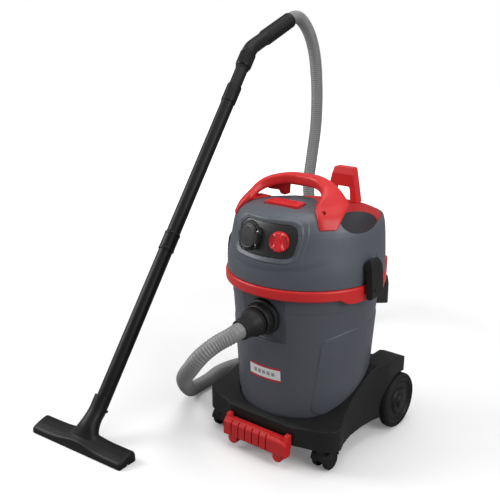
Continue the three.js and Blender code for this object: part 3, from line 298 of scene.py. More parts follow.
def grained(material_name, colour, roughness, grain=0.1, cloud=0.03, shine=0.5, coat=0.0,
            metal=0.0):
    """A moulded surface: a fine pebbled skin, faint clouding and slightly uneven gloss."""
    material, nodes, links, shader, coordinates = new_material(material_name)
    pebbles = noise_of(nodes, links, coordinates, Scale=1400, Detail=2)
    clouds = noise_of(nodes, links, coordinates, Scale=11, Detail=4)
    wear = noise_of(nodes, links, coordinates, Scale=60, Detail=6)
    tone = set_inputs(nodes.new("ShaderNodeMapRange"), From_Min=0.3, From_Max=0.7,
                      To_Min=1 - cloud, To_Max=1 + cloud)
    links.new(clouds, tone.inputs["Value"])
    tint = nodes.new("ShaderNodeVectorMath")
    tint.operation = "SCALE"
    tint.inputs[0].default_value = colour
    links.new(tone.outputs["Result"], tint.inputs["Scale"])
    links.new(tint.outputs["Vector"], shader.inputs["Base Color"])
    gloss = set_inputs(nodes.new("ShaderNodeMapRange"), To_Min=roughness - 0.07,
                       To_Max=roughness + 0.07)
    links.new(wear, gloss.inputs["Value"])
    links.new(gloss.outputs["Result"], shader.inputs["Roughness"])
    bumped(nodes, links, shader, pebbles, grain, 0.0004)
    set_inputs(shader, Coat_Weight=coat, Coat_Roughness=0.25, Specular_IOR_Level=shine,
               Metallic=metal)
    return material


def finished(piece, body, material_slot, *nodes, crease=35):
    """Rounds the piece's shading, and lets it stand for its nodes on their body."""
    piece.data.shade_smooth()
    piece.data.set_sharp_from_angle(angle=radians(crease))
    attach(piece, body)
    if nodes:
        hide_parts(*nodes)


hose_finish = grained("hose_plastic", (0.23, 0.23, 0.235), 0.42, grain=0.05, cloud=0.06)
hose = grown("suction_hose", hose_guide, tree, hose_finish)
finished(hose, "machine", "hose_grey", "hose")

# ---------------------------------------------------------------- tank
# The tub that takes the dirt: a tapered shell of grey plastic with a flat pad for the inlet,
# raised flanks and a straight neck that the red rim band clips round.
TANK_LAW = [(72, 138), (75, 146), (84, 152.5), (120, 155.4), (250, 163.8), (400, 174)]
TANK_WALL = 3.5


def law(pairs):
    """A law that runs smoothly through (height, radius) pairs."""
    def slope(k):
        (za, ra), (zb, rb) = pairs[max(k - 1, 0)], pairs[min(k + 1, len(pairs) - 1)]
        return (rb - ra) / (zb - za)

    def value(z):
        i = next((k for k, (height, _) in enumerate(pairs) if height > z), len(pairs) - 1)
        i = max(i, 1)
        (z0, r0), (z1, r1) = pairs[i - 1], pairs[i]
        h = z1 - z0
        t = min(max((z - z0) / h, 0), 1)
        return (
            r0 * (1 + 2 * t) * (1 - t) ** 2 + slope(i - 1) * h * t * (1 - t) ** 2
            + r1 * t * t * (3 - 2 * t) - slope(i) * h * t * t * (1 - t)
        )

    return value


def solid(points, faces):
    """A closed solid in millimetres about the tank's axis, its faces turned outwards."""
    mesh = bpy.data.meshes.new("solid")
    mesh.from_pydata([tuple(p) for p in points], [], faces)
    build = bmesh.new()
    build.from_mesh(mesh)
    bmesh.ops.remove_doubles(build, verts=build.verts, dist=1e-4)
    bmesh.ops.recalc_face_normals(build, faces=build.faces)
    build.to_mesh(mesh)
    build.free()
    made = bpy.data.objects.new("solid", mesh)
    scene.collection.objects.link(made)
    return made


def loft(rings, closed=False):
    """A skin over rings of points, its two ends capped or, if closed, joined to each other."""
    count, total = len(rings[0]), len(rings)
    faces = [
        (i * count + j, i * count + (j + 1) % count,
         (i + 1) % total * count + (j + 1) % count, (i + 1) % total * count + j)
        for i in range(total if closed else total - 1) for j in range(count)
    ]
    if not closed:
        last = (total - 1) * count
        faces += [tuple(range(count))[::-1], tuple(range(last, last + count))]
    return solid([p for ring in rings for p in ring], faces)


def turned(profile, sides=96, closed=False):
    """A profile of (radius, height) pairs turned about +Z, open along its axis if closed."""
    spokes = [(cos(2 * pi * j / sides), sin(2 * pi * j / sides)) for j in range(sides)]
    return loft([[(r * c, r * s, z) for c, s in spokes] for r, z in profile], closed)


def combined(operation, first, *others):
    """Joins the others to the first solid, cuts them from it or keeps what they share."""
    for other in others:
        step = first.modifiers.new("combined", "BOOLEAN")
        step.operation = operation
        step.solver = "MANIFOLD"
        step.object = other
    mesh = plain_mesh(first)
    first.modifiers.clear()
    first.data = mesh
    for other in others:
        bpy.data.objects.remove(other)
    return first


def joined(*solids):
    """The solids as one."""
    return combined("UNION", *solids)


def cut(first, *others):
    """The first solid without the others."""
    return combined("DIFFERENCE", first, *others)


def shared(first, *others):
    """What all the solids share."""
    return combined("INTERSECT", first, *others)


def placed(made, matrix):
    """The solid moved to where the matrix says."""
    made.data.transform(matrix)
    if matrix.determinant() < 0:
        made.data.flip_normals()
    return made


def box(x0, x1, y0, y1, z0, z1):
    """A box between two values along each axis."""
    corners = [(x, y, z) for z in (z0, z1) for y in (y0, y1) for x in (x0, x1)]
    return solid(corners, [(0, 1, 3, 2), (4, 5, 7, 6), (0, 1, 5, 4), (2, 3, 7, 6), (0, 2, 6, 4),
                           (1, 3, 7, 5)])


def outline(points, steps=6):
    """An outline whose corners are rounded by the third value of each point."""
    edge = []
    for i, (x, y, *rest) in enumerate(points):
        radius = rest[0] if rest else 0
        corner = Vector((x, y))
        if not radius:
            edge.append(corner)
            continue
        before = Vector(points[i - 1][:2]) - corner
        after = Vector(points[(i + 1) % len(points)][:2]) - corner
        start = corner + before.normalized() * min(radius, 0.45 * before.length)
        stop = corner + after.normalized() * min(radius, 0.45 * after.length)
        for k in range(steps + 1):
            t = k / steps
            edge.append(start * (1 - t) ** 2 + corner * 2 * t * (1 - t) + stop * t * t)
    return edge


def prism(points, low, high, steps=6):
    """An outline in plan, raised from one height to another."""
    edge = outline(points, steps)
    return loft([[(p.x, p.y, z) for p in edge] for z in (low, high)])


def side_prism(points, x0, x1, steps=6):
    """An outline of (y, z) points carried along X."""
    edge = outline(points, steps)
    return loft([[(x, p.x, p.y) for p in edge] for x in (x0, x1)])


def moulded(made, name, material, grain, passes=2, share=0.5):
    """The finished piece: its edges softened as a mould leaves them, thinned where it is plain."""
    skin = made.modifiers.new("skin", "REMESH")
    skin.mode = "VOXEL"
    skin.voxel_size = grain
    soft = made.modifiers.new("soft", "SMOOTH")
    soft.factor = 0.5
    soft.iterations = passes
    thin = made.modifiers.new("thin", "DECIMATE")
    thin.ratio = share
    return set_down(made, name, material)


def set_down(made, name, material):
    """The plain mesh of a solid and its modifiers, in metres where the machine stands."""
    mesh = plain_mesh(made)
    bpy.data.objects.remove(made)
    mesh.transform(TO_ROW)
    mesh.materials.clear()
    mesh.materials.append(material)
    mesh.name = name
    piece = bpy.data.objects.new(name, mesh)
    scene.collection.objects.link(piece)
    return piece


tank_radius = law(TANK_LAW)


def tank_form(inset=0.0, top=400, sides=160):
    """The tank's round form, its skin moved inwards by inset."""
    levels = [72, 73, 75, 78, 84, 92, 105, 120, 150, 185, 220, 250, 290, 330, 365, top]
    rings = []
    for k, z in enumerate(levels):
        below, above = levels[max(k - 1, 0)], levels[min(k + 1, len(levels) - 1)]
        slope = 0 if k == 0 else (tank_radius(above) - tank_radius(below)) / (above - below)
        reach = hypot(1, slope)
        r, lift = tank_radius(z) - inset / reach, slope * inset / reach
        rings.append([
            (r * sin(2 * pi * j / sides), -r * cos(2 * pi * j / sides), z + lift)
            for j in range(sides)
        ])
    return loft(rings)


def at(*place):
    """The frame that stands at a place."""
    return Matrix.Translation(place)


INLET_TILT = radians(5)
INLET_FRAME = at(0, -160, 347) @ Matrix.Rotation(pi / 2 + INLET_TILT, 4, "X")


def inlet_pad(half, low, high, depth, corner):
    """What is taken off the round front so that the inlet stands on a flat pad."""
    edge = [(-half, low, corner), (half, low, corner), (half, high), (-half, high)]
    return placed(prism(edge, -depth, 60), INLET_FRAME)


def tank_shell():
    """The hollow tank with its neck, flanks, inlet pad and opening."""
    neck = turned([(0, 398), (173.8, 398), (180, 404.5), (180, 423.2), (179.2, 424), (0, 424)], 160)
    edge = [(-118, 112, 25), (-112, 300, 12), (-60, 317, 30), (142, 322, 14), (146, 112, 25)]
    zones = [side_prism(edge, 90, 190, 10), side_prism(edge, -190, -90, 10)]
    upper_step = cut(tank_form(-1), box(-200, 200, -200, 200, 0, 368))
    flanks = shared(tank_form(-1.8, 388), joined(*zones))
    ledge = placed(prism([(-52, -50, 8), (52, -50, 8), (52, -22), (-52, -22)], -1.4, 60),
                   INLET_FRAME)
    outer = cut(joined(tank_form(), neck, flanks, upper_step), inlet_pad(66, -56, 54, 0, 10),
                ledge)
    cavity = cut(
        joined(tank_form(TANK_WALL), turned([(0, 396), (170, 396), (170, 440), (0, 440)], 160)),
        inlet_pad(62 + TANK_WALL, -56 - TANK_WALL, 120, TANK_WALL, 10),
    )
    opening = placed(turned([(0, -30), (29, -30), (29, 30), (0, 30)], 48), INLET_FRAME)
    return cut(outer, cavity, opening)


tank_finish = grained("tank_plastic", (0.082, 0.089, 0.108), 0.43, grain=0.12)
tank = moulded(tank_shell(), "tank", tank_finish, 1.4, share=0.19)
finished(tank, "machine", "tank_grey", "tank_shell")

# ---------------------------------------------------------------- label
# A plain printed film label is stuck on the tank's front, low and centred: a white field, two
# red bars along its edges and a row of grey squares.
LABEL_LOW, LABEL_HIGH, LABEL_HALF = 190, 225, 44
LABEL_MIDDLE = (LABEL_LOW + LABEL_HIGH) / 2000
SQUARE_PITCH = 0.0124


def label_film():
    """A film bent to the tank, as a closed sheet with an inner and an outer skin."""
    columns, rows = 48, 20
    width = columns + 1
    skin_size = (rows + 1) * width
    points = []
    for lift in (0.15, 0.4):
        for i in range(rows + 1):
            z = LABEL_LOW + (LABEL_HIGH - LABEL_LOW) * i / rows
            for j in range(width):
                angle = (-LABEL_HALF + 2 * LABEL_HALF * j / columns) / tank_radius(z)
                r = tank_radius(z) + lift
                points.append((r * sin(angle), -r * cos(angle), z))
    faces = []
    for i in range(rows):
        for j in range(columns):
            corner = skin_size + i * width + j
            outer = [corner, corner + 1, corner + width + 1, corner + width]
            faces += [outer, [k - skin_size for k in reversed(outer)]]
    border = [*range(columns), *(i * width + columns for i in range(rows))]
    border += [rows * width + j for j in range(columns, 0, -1)]
    border += [i * width for i in range(rows, 0, -1)]
    for a, b in zip(border, border[1:] + border[:1]):
        faces.append([a, b, b + skin_size, a + skin_size])
    return solid(points, faces)


def label_print():
    """The print on the film, laid out by height and by distance across the front."""
    material, nodes, links, shader, coordinates = new_material("label_film")

    def joined_to(socket, value):
        if isinstance(value, bpy.types.NodeSocket):
            links.new(value, socket)
        else:
            socket.default_value = value

    def math(operation, *values):
        made = nodes.new("ShaderNodeMath")
        made.operation = operation
        for socket, value in zip(made.inputs, values):
            joined_to(socket, value)
        return made.outputs["Value"]

    def within(value, reach):
        return math("LESS_THAN", math("ABSOLUTE", value), reach)

    def colour_where(mask, under, over):
        mix = nodes.new("ShaderNodeMix")
        mix.data_type = "RGBA"
        links.new(mask, mix.inputs["Factor"])
        joined_to(mix.inputs[6], under)
        joined_to(mix.inputs[7], over)
        return mix.outputs[2]

    split = nodes.new("ShaderNodeSeparateXYZ")
    links.new(coordinates.outputs["Object"], split.inputs["Vector"])
    x = math("SUBTRACT", split.outputs["X"], TANK_AXIS.x)
    height = math("SUBTRACT", split.outputs["Z"], LABEL_MIDDLE)
    bars = math("GREATER_THAN", math("ABSOLUTE", height), 0.0125)
    step = math("FRACT", math("ADD", math("DIVIDE", x, SQUARE_PITCH), 10.5))
    in_square = within(math("SUBTRACT", step, 0.5), 0.34)
    in_row = math("MULTIPLY", within(height, 0.0045), within(x, 0.031))
    squares = math("MULTIPLY", in_row, in_square)
    print_colour = colour_where(squares, (0.78, 0.78, 0.77, 1), (0.3, 0.31, 0.33, 1))
    print_colour = colour_where(bars, print_colour, (0.5, 0.02, 0.03, 1))
    links.new(print_colour, shader.inputs["Base Color"])
    bumped(nodes, links, shader, noise_of(nodes, links, coordinates, Scale=900), 0.04, 0.0002)
    set_inputs(shader, Roughness=0.35)
    return material


def fitted(made, name, material, body, material_slot, *nodes, crease=35):
    """Sets a solid down as it is and finishes it."""
    finished(set_down(made, name, material), body, material_slot, *nodes, crease=crease)


fitted(label_film(), "plain_label", label_print(), "machine", "tank_grey", crease=50)

# ---------------------------------------------------------------- chassis
# The tank stands in a shallow seat of a black moulded trolley. Its low front carries the casters
# and the pedal, and its flanks sweep up to a tall riser between the rear wheels.
WHEEL_AXLE = Vector((182, 147, 70))
CASTER_SEAT = Vector((150, -138, 0))
PEDAL_PIN = Vector((0, -140, 46))
PEDAL_LUG = (54, 64)
STUB_R = 6.4


def mirrored(points):
    """An outline's points on the machine's other side, in the order that carries it on."""
    return [(-x, y, *more) for x, y, *more in reversed(points)]


half_plan = [
    (0, -172), (95, -172, 4), (108, -167, 6), (138, -160, 10), (168, -152, 12), (186, -134, 10),
    (188, -116, 8), (178, -92, 8), (169, -50, 12), (168, 0, 12), (173, 48, 12), (187, 96, 10),
    (188, 172, 14), (166, 205, 12), (0, 205),
]
CHASSIS_PLAN = half_plan + mirrored(half_plan[1:-1])
CHASSIS_SIDE = [
    (-176, 54), (-176, 97, 5), (-160, 104, 5), (-118, 108, 6), (-90, 117, 10), (-20, 154, 12),
    (36, 184, 12), (60, 191, 8), (150, 190, 8), (184, 176, 10), (202, 146, 10), (208, 60),
    (70, 50), (-80, 50),
]
SIDES = (("left", -1), ("right", 1))


def rod(r, low, high, sides=48):
    """A round rod along +Z."""
    return turned([(0, low), (r, low), (r, high), (0, high)], sides)


def along_x(made, side=1):
    """A part turned about +Z, laid along X away from the machine's middle."""
    return placed(made, Matrix.Rotation(side * pi / 2, 4, "Y"))


def across(side, x0, x1, y0, y1, z0, z1):
    """A box between two distances from the machine's middle."""
    return box(*sorted((side * x0, side * x1)), y0, y1, z0, z1)


def side_bar(side, points, x0, x1):
    """A side outline carried between two distances from the machine's middle."""
    return side_prism(points, *sorted((side * x0, side * x1)))


def wheel_well(side, r, start):
    """The round space of a rear wheel, from a distance outwards."""
    return placed(along_x(rod(r, start, 260, 96), side),
                  at(0, WHEEL_AXLE.y, WHEEL_AXLE.z))


def front_prism(points, y0, y1, steps=6):
    """An outline of (x, z) points carried along Y."""
    edge = outline(points, steps)
    return loft([[(p.x, y, p.y) for p in edge] for y in (y0, y1)])


def rear_dip(wall=0):
    """The space between the two risers, which leaves the back of the trolley low."""
    widen = 1 + wall / 66
    edge = [((132 - wall) * widen, 220), ((120 - wall) * widen, 146 - wall)]
    return front_prism([*((-x, z) for x, z in edge), *reversed(edge)], 60, 215)


def chassis():
    """The trolley: a hollow moulding with posts for its axles, casters and pedal."""
    outer = cut(shared(prism(CHASSIS_PLAN, 40, 200), side_prism(CHASSIS_SIDE, -200, 200)),
                rear_dip())
    seat = joined(tank_form(-2.3, 400), rod(139, 71.6, 78, 160))
    wall = 1 - 4 / 188
    inner_plan = [(x * wall, 16 + (y - 16) * wall) for x, y, *_ in CHASSIS_PLAN]
    inner_side = [(16 + (y - 16) * wall, z - 4 if z > 60 else 30) for y, z, *_ in CHASSIS_SIDE]
    kept = [joined(tank_form(-7.5, 400), rod(145, 67.5, 78, 160))]
    for _, side in SIDES:
        kept += [
            placed(rod(15, 40, 92), at(side * CASTER_SEAT.x, CASTER_SEAT.y, 0)),
            across(side, 122, 163, WHEEL_AXLE.y - 17, WHEEL_AXLE.y + 17, 53, 150),
            across(side, *PEDAL_LUG, -156, -124, 30, 110), wheel_well(side, 80, 160),
        ]
    kept.append(rear_dip(4))
    hollow = cut(shared(prism(inner_plan, 30, 200), side_prism(inner_side, -200, 200)), *kept)
    lugs, tools = [], [seat]
    tools.append(placed(along_x(rod(3.4, -90, 90)), at(*PEDAL_PIN)))
    for _, side in SIDES:
        lug = [(-156, 60), (-151, 40, 6), (-129, 40, 6), (-124, 60)]
        lugs.append(side_bar(side, lug, *PEDAL_LUG))
        tools += [
            placed(rod(6, 30, 80), at(side * CASTER_SEAT.x, CASTER_SEAT.y, 0)),
            placed(along_x(rod(STUB_R, 125, 220), side),
                   at(0, WHEEL_AXLE.y, WHEEL_AXLE.z)),
            across(side, 42, 53.7, -190, -128, 40, 66), wheel_well(side, 76, 164),
        ]
    return cut(joined(cut(outer, hollow), *lugs), *tools)


black_finish = grained("black_plastic", (0.0095, 0.0097, 0.01), 0.5, grain=0.14, cloud=0.1,
                       shine=0.34)
trolley = moulded(chassis(), "trolley", black_finish, 1.5, share=0.28)
finished(trolley, "machine", "moulded_black", "chassis")

# ---------------------------------------------------------------- rear wheels
# Two large black wheels turn on steel stub axles. A rubber tyre is pressed onto each dished
# plastic wheel, whose face steps down in rings to the hub.
def wheel_place(side):
    """Where a rear wheel turns on that side, with +Z pointing away from the machine."""
    turn = Matrix.Rotation(side * pi / 2, 4, "Y")
    return at(side * WHEEL_AXLE.x, WHEEL_AXLE.y, WHEEL_AXLE.z) @ turn


def ring_of(points, sides=128):
    """A closed profile of (radius, height, rounding) points turned about +Z."""
    return turned([(p.x, p.y) for p in outline(points, 5)], sides, closed=True)


wheel_finish = grained("wheel_plastic", (0.007, 0.007, 0.0073), 0.45, grain=0.06, cloud=0.08,
                       shine=0.3)
tyre_finish = grained("tyre_rubber", (0.008, 0.008, 0.008), 0.75, grain=0.25, cloud=0.15,
                      shine=0.35)
axle_finish = grained("axle_steel", (0.62, 0.63, 0.64), 0.28, grain=0.05, cloud=0.06, metal=1)
for name, side in SIDES:
    wheel = ring_of([
        (STUB_R, -14), (16, -14), (20, -5, 2), (54, -5, 2), (57, -13), (59.5, -13), (59.5, 12, 1),
        (55, 12, 2), (52.5, 8, 2), (49, 7, 1), (48, 8.5, 1), (46, 8.5, 1), (45, 7, 1),
        (34, 7.4, 2), (31, 12.6, 2), (19, 12.9, 1), (17, 17, 2), (14, 18.4, 2), (0.3, 18.6),
        (0.3, 16.6), (11.8, 16.4), (11.8, 10.8), (STUB_R, 10.8),
    ], 160)
    fitted(placed(wheel, wheel_place(side)), f"wheel_{name}_disc", wheel_finish,
           f"wheel_{name}", "moulded_black", f"rear_wheel_{name}", crease=50)
    tyre = ring_of([
        (60, -13), (65, -13, 2), (70, -8, 5), (70, 8, 5), (65, 13, 2), (64, 13, 0.6),
        (63.4, 12.2, 0.6), (62.6, 12.2, 0.6), (62, 13, 0.6), (60, 13),
    ], 160)
    fitted(placed(tyre, wheel_place(side)), f"wheel_{name}_tyre", tyre_finish,
           f"wheel_{name}", "tyre_black", f"rear_tyre_{name}", crease=60)
    axle = turned([
        (0, -55), (5.4, -55), (6, -54), (6, 12), (10.4, 12), (11, 12.6), (11, 13.6), (10, 14.8),
        (7, 15.8), (0, 16),
    ], 64)
    fitted(placed(axle, wheel_place(side)), f"axle_{name}", axle_finish,
           "machine", "bright_steel", f"rear_axle_{name}")

# ---------------------------------------------------------------- front casters
# A twin-wheel caster swivels in each front corner: two narrow black wheels on one axle, under
# the hood of a black fork, whose stem stands in the chassis.
CASTER_TRAIL, CASTER_R = 14, 24
SPACE_R = 25.8
# A turn that lays a part made along +Z on its side, along +X.
SIDEWAYS = Matrix.Rotation(pi / 2, 4, "Y")
CASTER_AXLE = at(0, CASTER_TRAIL, CASTER_R) @ SIDEWAYS


def caster_fork():
    """A hood over two wheels, with a web between them and a stem."""
    def along_axle(r, low, high, sides=72):
        return placed(rod(r, low, high, sides), CASTER_AXLE)

    hood = cut(
        along_axle(27.5, -22, 22), along_axle(SPACE_R, -23, -5), along_axle(SPACE_R, 5, 23),
        box(-40, 40, -60, 60, -10, CASTER_R + 2),
    )
    web = side_prism([
        (-11, 50), (-8, 30, 6), (6, 14, 6), (CASTER_TRAIL + 8, 14, 6), (CASTER_TRAIL + 16, 28, 6),
        (CASTER_TRAIL + 10, 49),
    ], -5, 5)
    post = turned([(0, 30), (11, 44), (11, 51.6), (5.5, 51.6), (5.5, 75), (4.5, 76), (0, 76)], 48)
    return cut(joined(hood, web, post), along_axle(3.5, -30, 30, 48),
               along_axle(SPACE_R, -23, -5.2), along_axle(SPACE_R, 5.2, 23))


for name, side in SIDES:
    seat = at(side * CASTER_SEAT.x, CASTER_SEAT.y, 0)
    fork = moulded(placed(caster_fork(), seat), f"caster_{name}_hood", black_finish, 0.7,
                   passes=1)
    finished(fork, f"caster_{name}", "moulded_black", f"caster_fork_{name}")
    disc = outline([
        (0.5, 8), (22, 8), (24, 10, 2), (24, 19, 2), (22, 21, 1), (19, 21, 1), (18, 19.6, 1),
        (9, 19.6, 1), (8, 21, 1), (0.5, 21),
    ], 4)
    discs = [
        placed(turned([(p.x, p.y) for p in disc], 72, closed=True), Matrix.Rotation(turn, 4, "Y"))
        for turn in (0, pi)
    ]
    axle = placed(joined(rod(3, -19, 19), *discs), seat @ CASTER_AXLE)
    fitted(axle, f"caster_{name}_wheels", wheel_finish,
           f"caster_roll_{name}", "moulded_black", f"caster_wheels_{name}", crease=40)

# ---------------------------------------------------------------- brake pedal
# The glossy red pedal across the front tips on a steel pin behind it and presses a foot down
# beside each caster. Grooves divide its face into six fingers and a plain bevelled end.

# A turn that lays a part made along +Z forwards, along -Y.
FORWARD = Matrix.Rotation(pi / 2, 4, "X")

# One tree lays out every part that repeats: copies in a row along X, or turned about Z.
repeated_tree, given, node, math, end = node_tree("repeated", Count=2, Pitch=0.0, Turn=0.0)
row = node("GeometryNodeMeshLine", mode="OFFSET", count_mode="TOTAL").node
copies = node("GeometryNodeInstanceOnPoints").node
swing = math("MULTIPLY", node("GeometryNodeInputIndex"), given["Turn"])
for source, target in [
    (given["Count"], row.inputs["Count"]),
    (node("ShaderNodeCombineXYZ", given["Pitch"], 0.0, 0.0), row.inputs["Offset"]),
    (row.outputs["Mesh"], copies.inputs["Points"]),
    (given["Geometry"], copies.inputs["Instance"]),
    (node("ShaderNodeCombineXYZ", 0.0, 0.0, swing), copies.inputs["Rotation"]),
]:
    repeated_tree.links.new(source, target)
end(copies.outputs["Instances"])


def repeated(made, count, pitch=0.0, turn=0.0):
    """Copies of a solid in a row along X, or turned about Z, as one solid."""
    values = {"Count": count, "Pitch": pitch, "Turn": turn}
    step = made.modifiers.new("repeated", "NODES")
    step.node_group = repeated_tree
    for socket in repeated_tree.interface.items_tree:
        if socket.name in values:
            step[socket.identifier] = values[socket.name]
    mesh = plain_mesh(made)
    made.modifiers.clear()
    made.data = mesh
    return made


def brake_pedal():
    """A grooved bar with two hinge arms, two end ears and two feet."""
    half = 91
    bar = side_prism([
        (-200, 32, 4), (-200, 66, 4), (-190, 75, 4), (-177, 75, 2), (-177, 36, 3), (-184, 30, 3),
    ], -half, half)
    groove = side_prism([(-210, 20), (-210, 90), (-186, 90), (-194, 62), (-194, 20)], -1.6, 1.6)
    grooves = placed(repeated(groove, 6, pitch=20.6), at(-half + 23.6, 0, 0))
    bevel = front_prism([(66, 90), (66, 76), (half + 2, 62), (half + 9, 90)], -210, -180)
    scoop_out = box(40, 80, -192, -180, 70, 80)
    nub = placed(turned([(0, 181), (13.5, 181), (13.5, 195), (11.5, 198), (0, 198)], 48),
                 FORWARD)
    parts = [placed(repeated(nub, 2, pitch=132), at(-66, 0, 26))]
    for _, side in SIDES:
        parts.append(side_bar(side, [
            (-186, 40), (-186, 62, 3), (-150, 58, 8), (-133, 54, 6), (-132, 40, 6), (-146, 36, 6),
        ], 44, 53))
        parts.append(side_bar(side, [
            (-194, 66), (-186, 84, 5), (-174.5, 84, 3), (-174.5, 50), (-186, 44),
        ], half - 11, half))
    bore = placed(along_x(rod(3.4, -90, 90)), at(*PEDAL_PIN))
    return cut(joined(cut(bar, grooves, bevel, scoop_out), *parts), bore)


red_finish = grained("red_plastic", (0.66, 0.022, 0.024), 0.36, grain=0.04, cloud=0.04,
                     shine=0.34, coat=0.08)
pedal = moulded(brake_pedal(), "pedal_bar", red_finish, 0.9, share=0.4)
finished(pedal, "pedal", "signal_red", "brake_pedal")
pivot = placed(along_x(turned([(0, -67), (2.4, -67), (3, -66), (3, 66), (2.4, 67), (0, 67)], 32)),
               at(*PEDAL_PIN))
fitted(pivot, "pedal_pin", axle_finish, "machine", "bright_steel", "brake_pivot")

# ---------------------------------------------------------------- rim band and its latches
# A glossy red band clips round the tank's neck. It drops into a lobe on each flank, with two lugs
# for the steel pin of a latch, and swells into a grip at the rear.
BAND_INSIDE = 180.4
LATCH_PIN = Vector((199.2, -20, 404))


def latch_place(side):
    """Where a latch's pin stands on that side of the machine, with +X pointing away from it."""
    x, y, z = LATCH_PIN
    return at(side * x, y, z) @ Matrix.Diagonal((side, 1, 1, 1))


def along_y(made):
    """A part turned about +Z, laid along +Y."""
    return placed(made, Matrix.Rotation(-pi / 2, 4, "X"))


def rim_band():
    """A hoop with a lobe and two lugs on each flank, and a grip at the rear."""
    hoop = turned([
        (p.x, p.y) for p in outline([
            (BAND_INSIDE - 3.3, 401), (187.2, 401, 3), (190, 404, 3), (190, 423, 3),
            (187.2, 426, 3), (BAND_INSIDE, 426), (BAND_INSIDE, 404.4),
        ])
    ], 192, closed=True)
    lobes = shared(
        turned([(178.6, 388), (188, 388), (190, 390), (190, 404), (178.6, 404)], 192, closed=True),
        side_prism([(-108, 424), (-98, 402, 6), (-80, 391, 8), (40, 391, 8), (58, 402, 6),
                    (68, 424)], -200, 200),
    )
    grip = prism([
        (-120, 146), (120, 146), (119, 190, 18), (80, 214, 14), (-80, 214, 14), (-119, 190, 18),
    ], 384, 423)
    parts = [lobes, grip]
    for side in (-1, 1):
        for y in (-20.5, 12):
            lug = joined(box(-17.2, 0, y, y + 8.5, -4, 4),
                         along_y(turned([(0, y), (6, y), (6, y + 8.5), (0, y + 8.5)], 40)))
            parts.append(placed(lug, latch_place(side)))
    clearance = turned([
        (0, 370), (BAND_INSIDE - 7.5, 370), (BAND_INSIDE - 6, 398), (BAND_INSIDE, 404.4),
        (BAND_INSIDE, 440), (0, 440),
    ], 192)
    bores = [placed(along_y(rod(2.7, -40, 40, 24)), latch_place(side)) for side in (-1, 1)]
    return cut(joined(hoop, *parts), clearance, *bores)


band = moulded(rim_band(), "rim_band", red_finish, 1.2, passes=3, share=0.4)
finished(band, "machine", "signal_red", "tank_band")


# Each latch is a black rocker that hooks over the head, hollow behind and rounded at its top,
# with a small dimple low on its face. Its two cheeks hold the steel pin.
def latch():
    """A rocker whose top hooks over the head and whose cheeks hold the pin."""
    half = 24
    edge = [
        (-8, 4), (-8, 54), (-11, 60, 1), (-17.6, 61), (-17.6, 70, 2), (-10, 82, 5), (-3, 83, 6),
        (3.5, 70, 8), (8, 30, 20), (8.6, 0, 3), (8, -4, 4), (4, -8, 4), (-4, -8, 4), (-8, -4, 4),
    ]
    face = [
        (1 - half, -10), (-half, 24, 8), (-half, 64, 14), (-half + 9, 85, 10), (half - 9, 85, 10),
        (half, 64, 14), (half, 24, 8), (half - 1, -10),
    ]
    body = shared(front_prism(edge, -half, half), side_prism(face, -30, 30))
    hollow = front_prism([(-12, 12), (-12, 46), (2, 46), (4, 12)], 4 - half, half - 4)
    dimple = placed(turned([(0, 5.4), (3.4, 5.4), (4, 12), (0, 12)], 32),
                    at(0, -12, 14) @ SIDEWAYS)
    tools = [hollow, dimple, along_y(rod(2.8, -21.6, 21.6, 24))]
    for y in (-20.8, 11.7):
        tools.append(box(-30, 6.4, y, y + 9.1, -30, 4.8))
        tools.append(along_y(rod(6.6, y, y + 9.1, 32)))
    return cut(body, *tools)


for name, side in SIDES:
    piece = placed(latch(), latch_place(side))
    piece = moulded(piece, f"latch_{name}_rocker", black_finish, 0.8)
    finished(piece, f"latch_{name}", "moulded_black", f"latch_{name}")
    pin = placed(along_y(turned([(0, -21.3), (1.9, -21.3), (2.4, -20.8), (2.4, 20.8),
                                 (1.9, 21.3), (0, 21.3)], 24)), latch_place(side))
    fitted(pin, f"latch_{name}_pin", axle_finish, "machine", "bright_steel", f"latch_pin_{name}")

# ---------------------------------------------------------------- accessory holder
# A black block on the tank's back, just under the band, holds spare nozzles and the wand in two
# deep sockets. It is moulded to the tank's curve.
def accessory_holder():
    """A block with two round sockets, each with a raised lip."""
    block = prism([
        (-124, 118), (124, 118), (124, 188, 14), (100, 222, 12), (-100, 222, 12), (-124, 188, 14),
    ], 292, 366)
    top = side_prism([(100, 328), (100, 352), (196, 352, 3), (224, 368), (240, 368), (240, 292),
                      (222, 293, 10)], -130, 130)
    places = [at(x, 199, 0) for x in (-58, 58)]
    sockets = [placed(rod(18, 280, 380), place) for place in places]
    lips = [
        placed(turned([(18.2, 345), (22, 345), (22, 358.4), (21, 359.4), (18.2, 359.4)], 64,
                      closed=True), place) for place in places
    ]
    lips = [cut(lip, prism([(-130, 221.5), (130, 221.5), (130, 240), (-130, 240)], 280, 380))
            for lip in lips]
    return cut(joined(shared(block, top), *lips), tank_form(-2.4, 400), *sockets)


holder = moulded(accessory_holder(), "holder", black_finish, 1.2, share=0.4)
finished(holder, "machine", "moulded_black", "rear_holder")

# ---------------------------------------------------------------- inlet and hose cuff
# A black flange stands on the tank's flat pad. A bayonet collar turns in it to let go of the
# hose's own cuff, whose wide shoulder tapers down to grip the hose.
flange = ring_of([
    (24, -24), (28, -24), (28, 0.3), (43, 0.3), (43, 9, 2), (39, 13, 3), (32, 13, 1.5),
    (31, 8, 1), (24, 8, 1),
])
fitted(placed(flange, INLET_FRAME), "inlet_ring", black_finish,
       "machine", "moulded_black", "inlet_flange", crease=50)

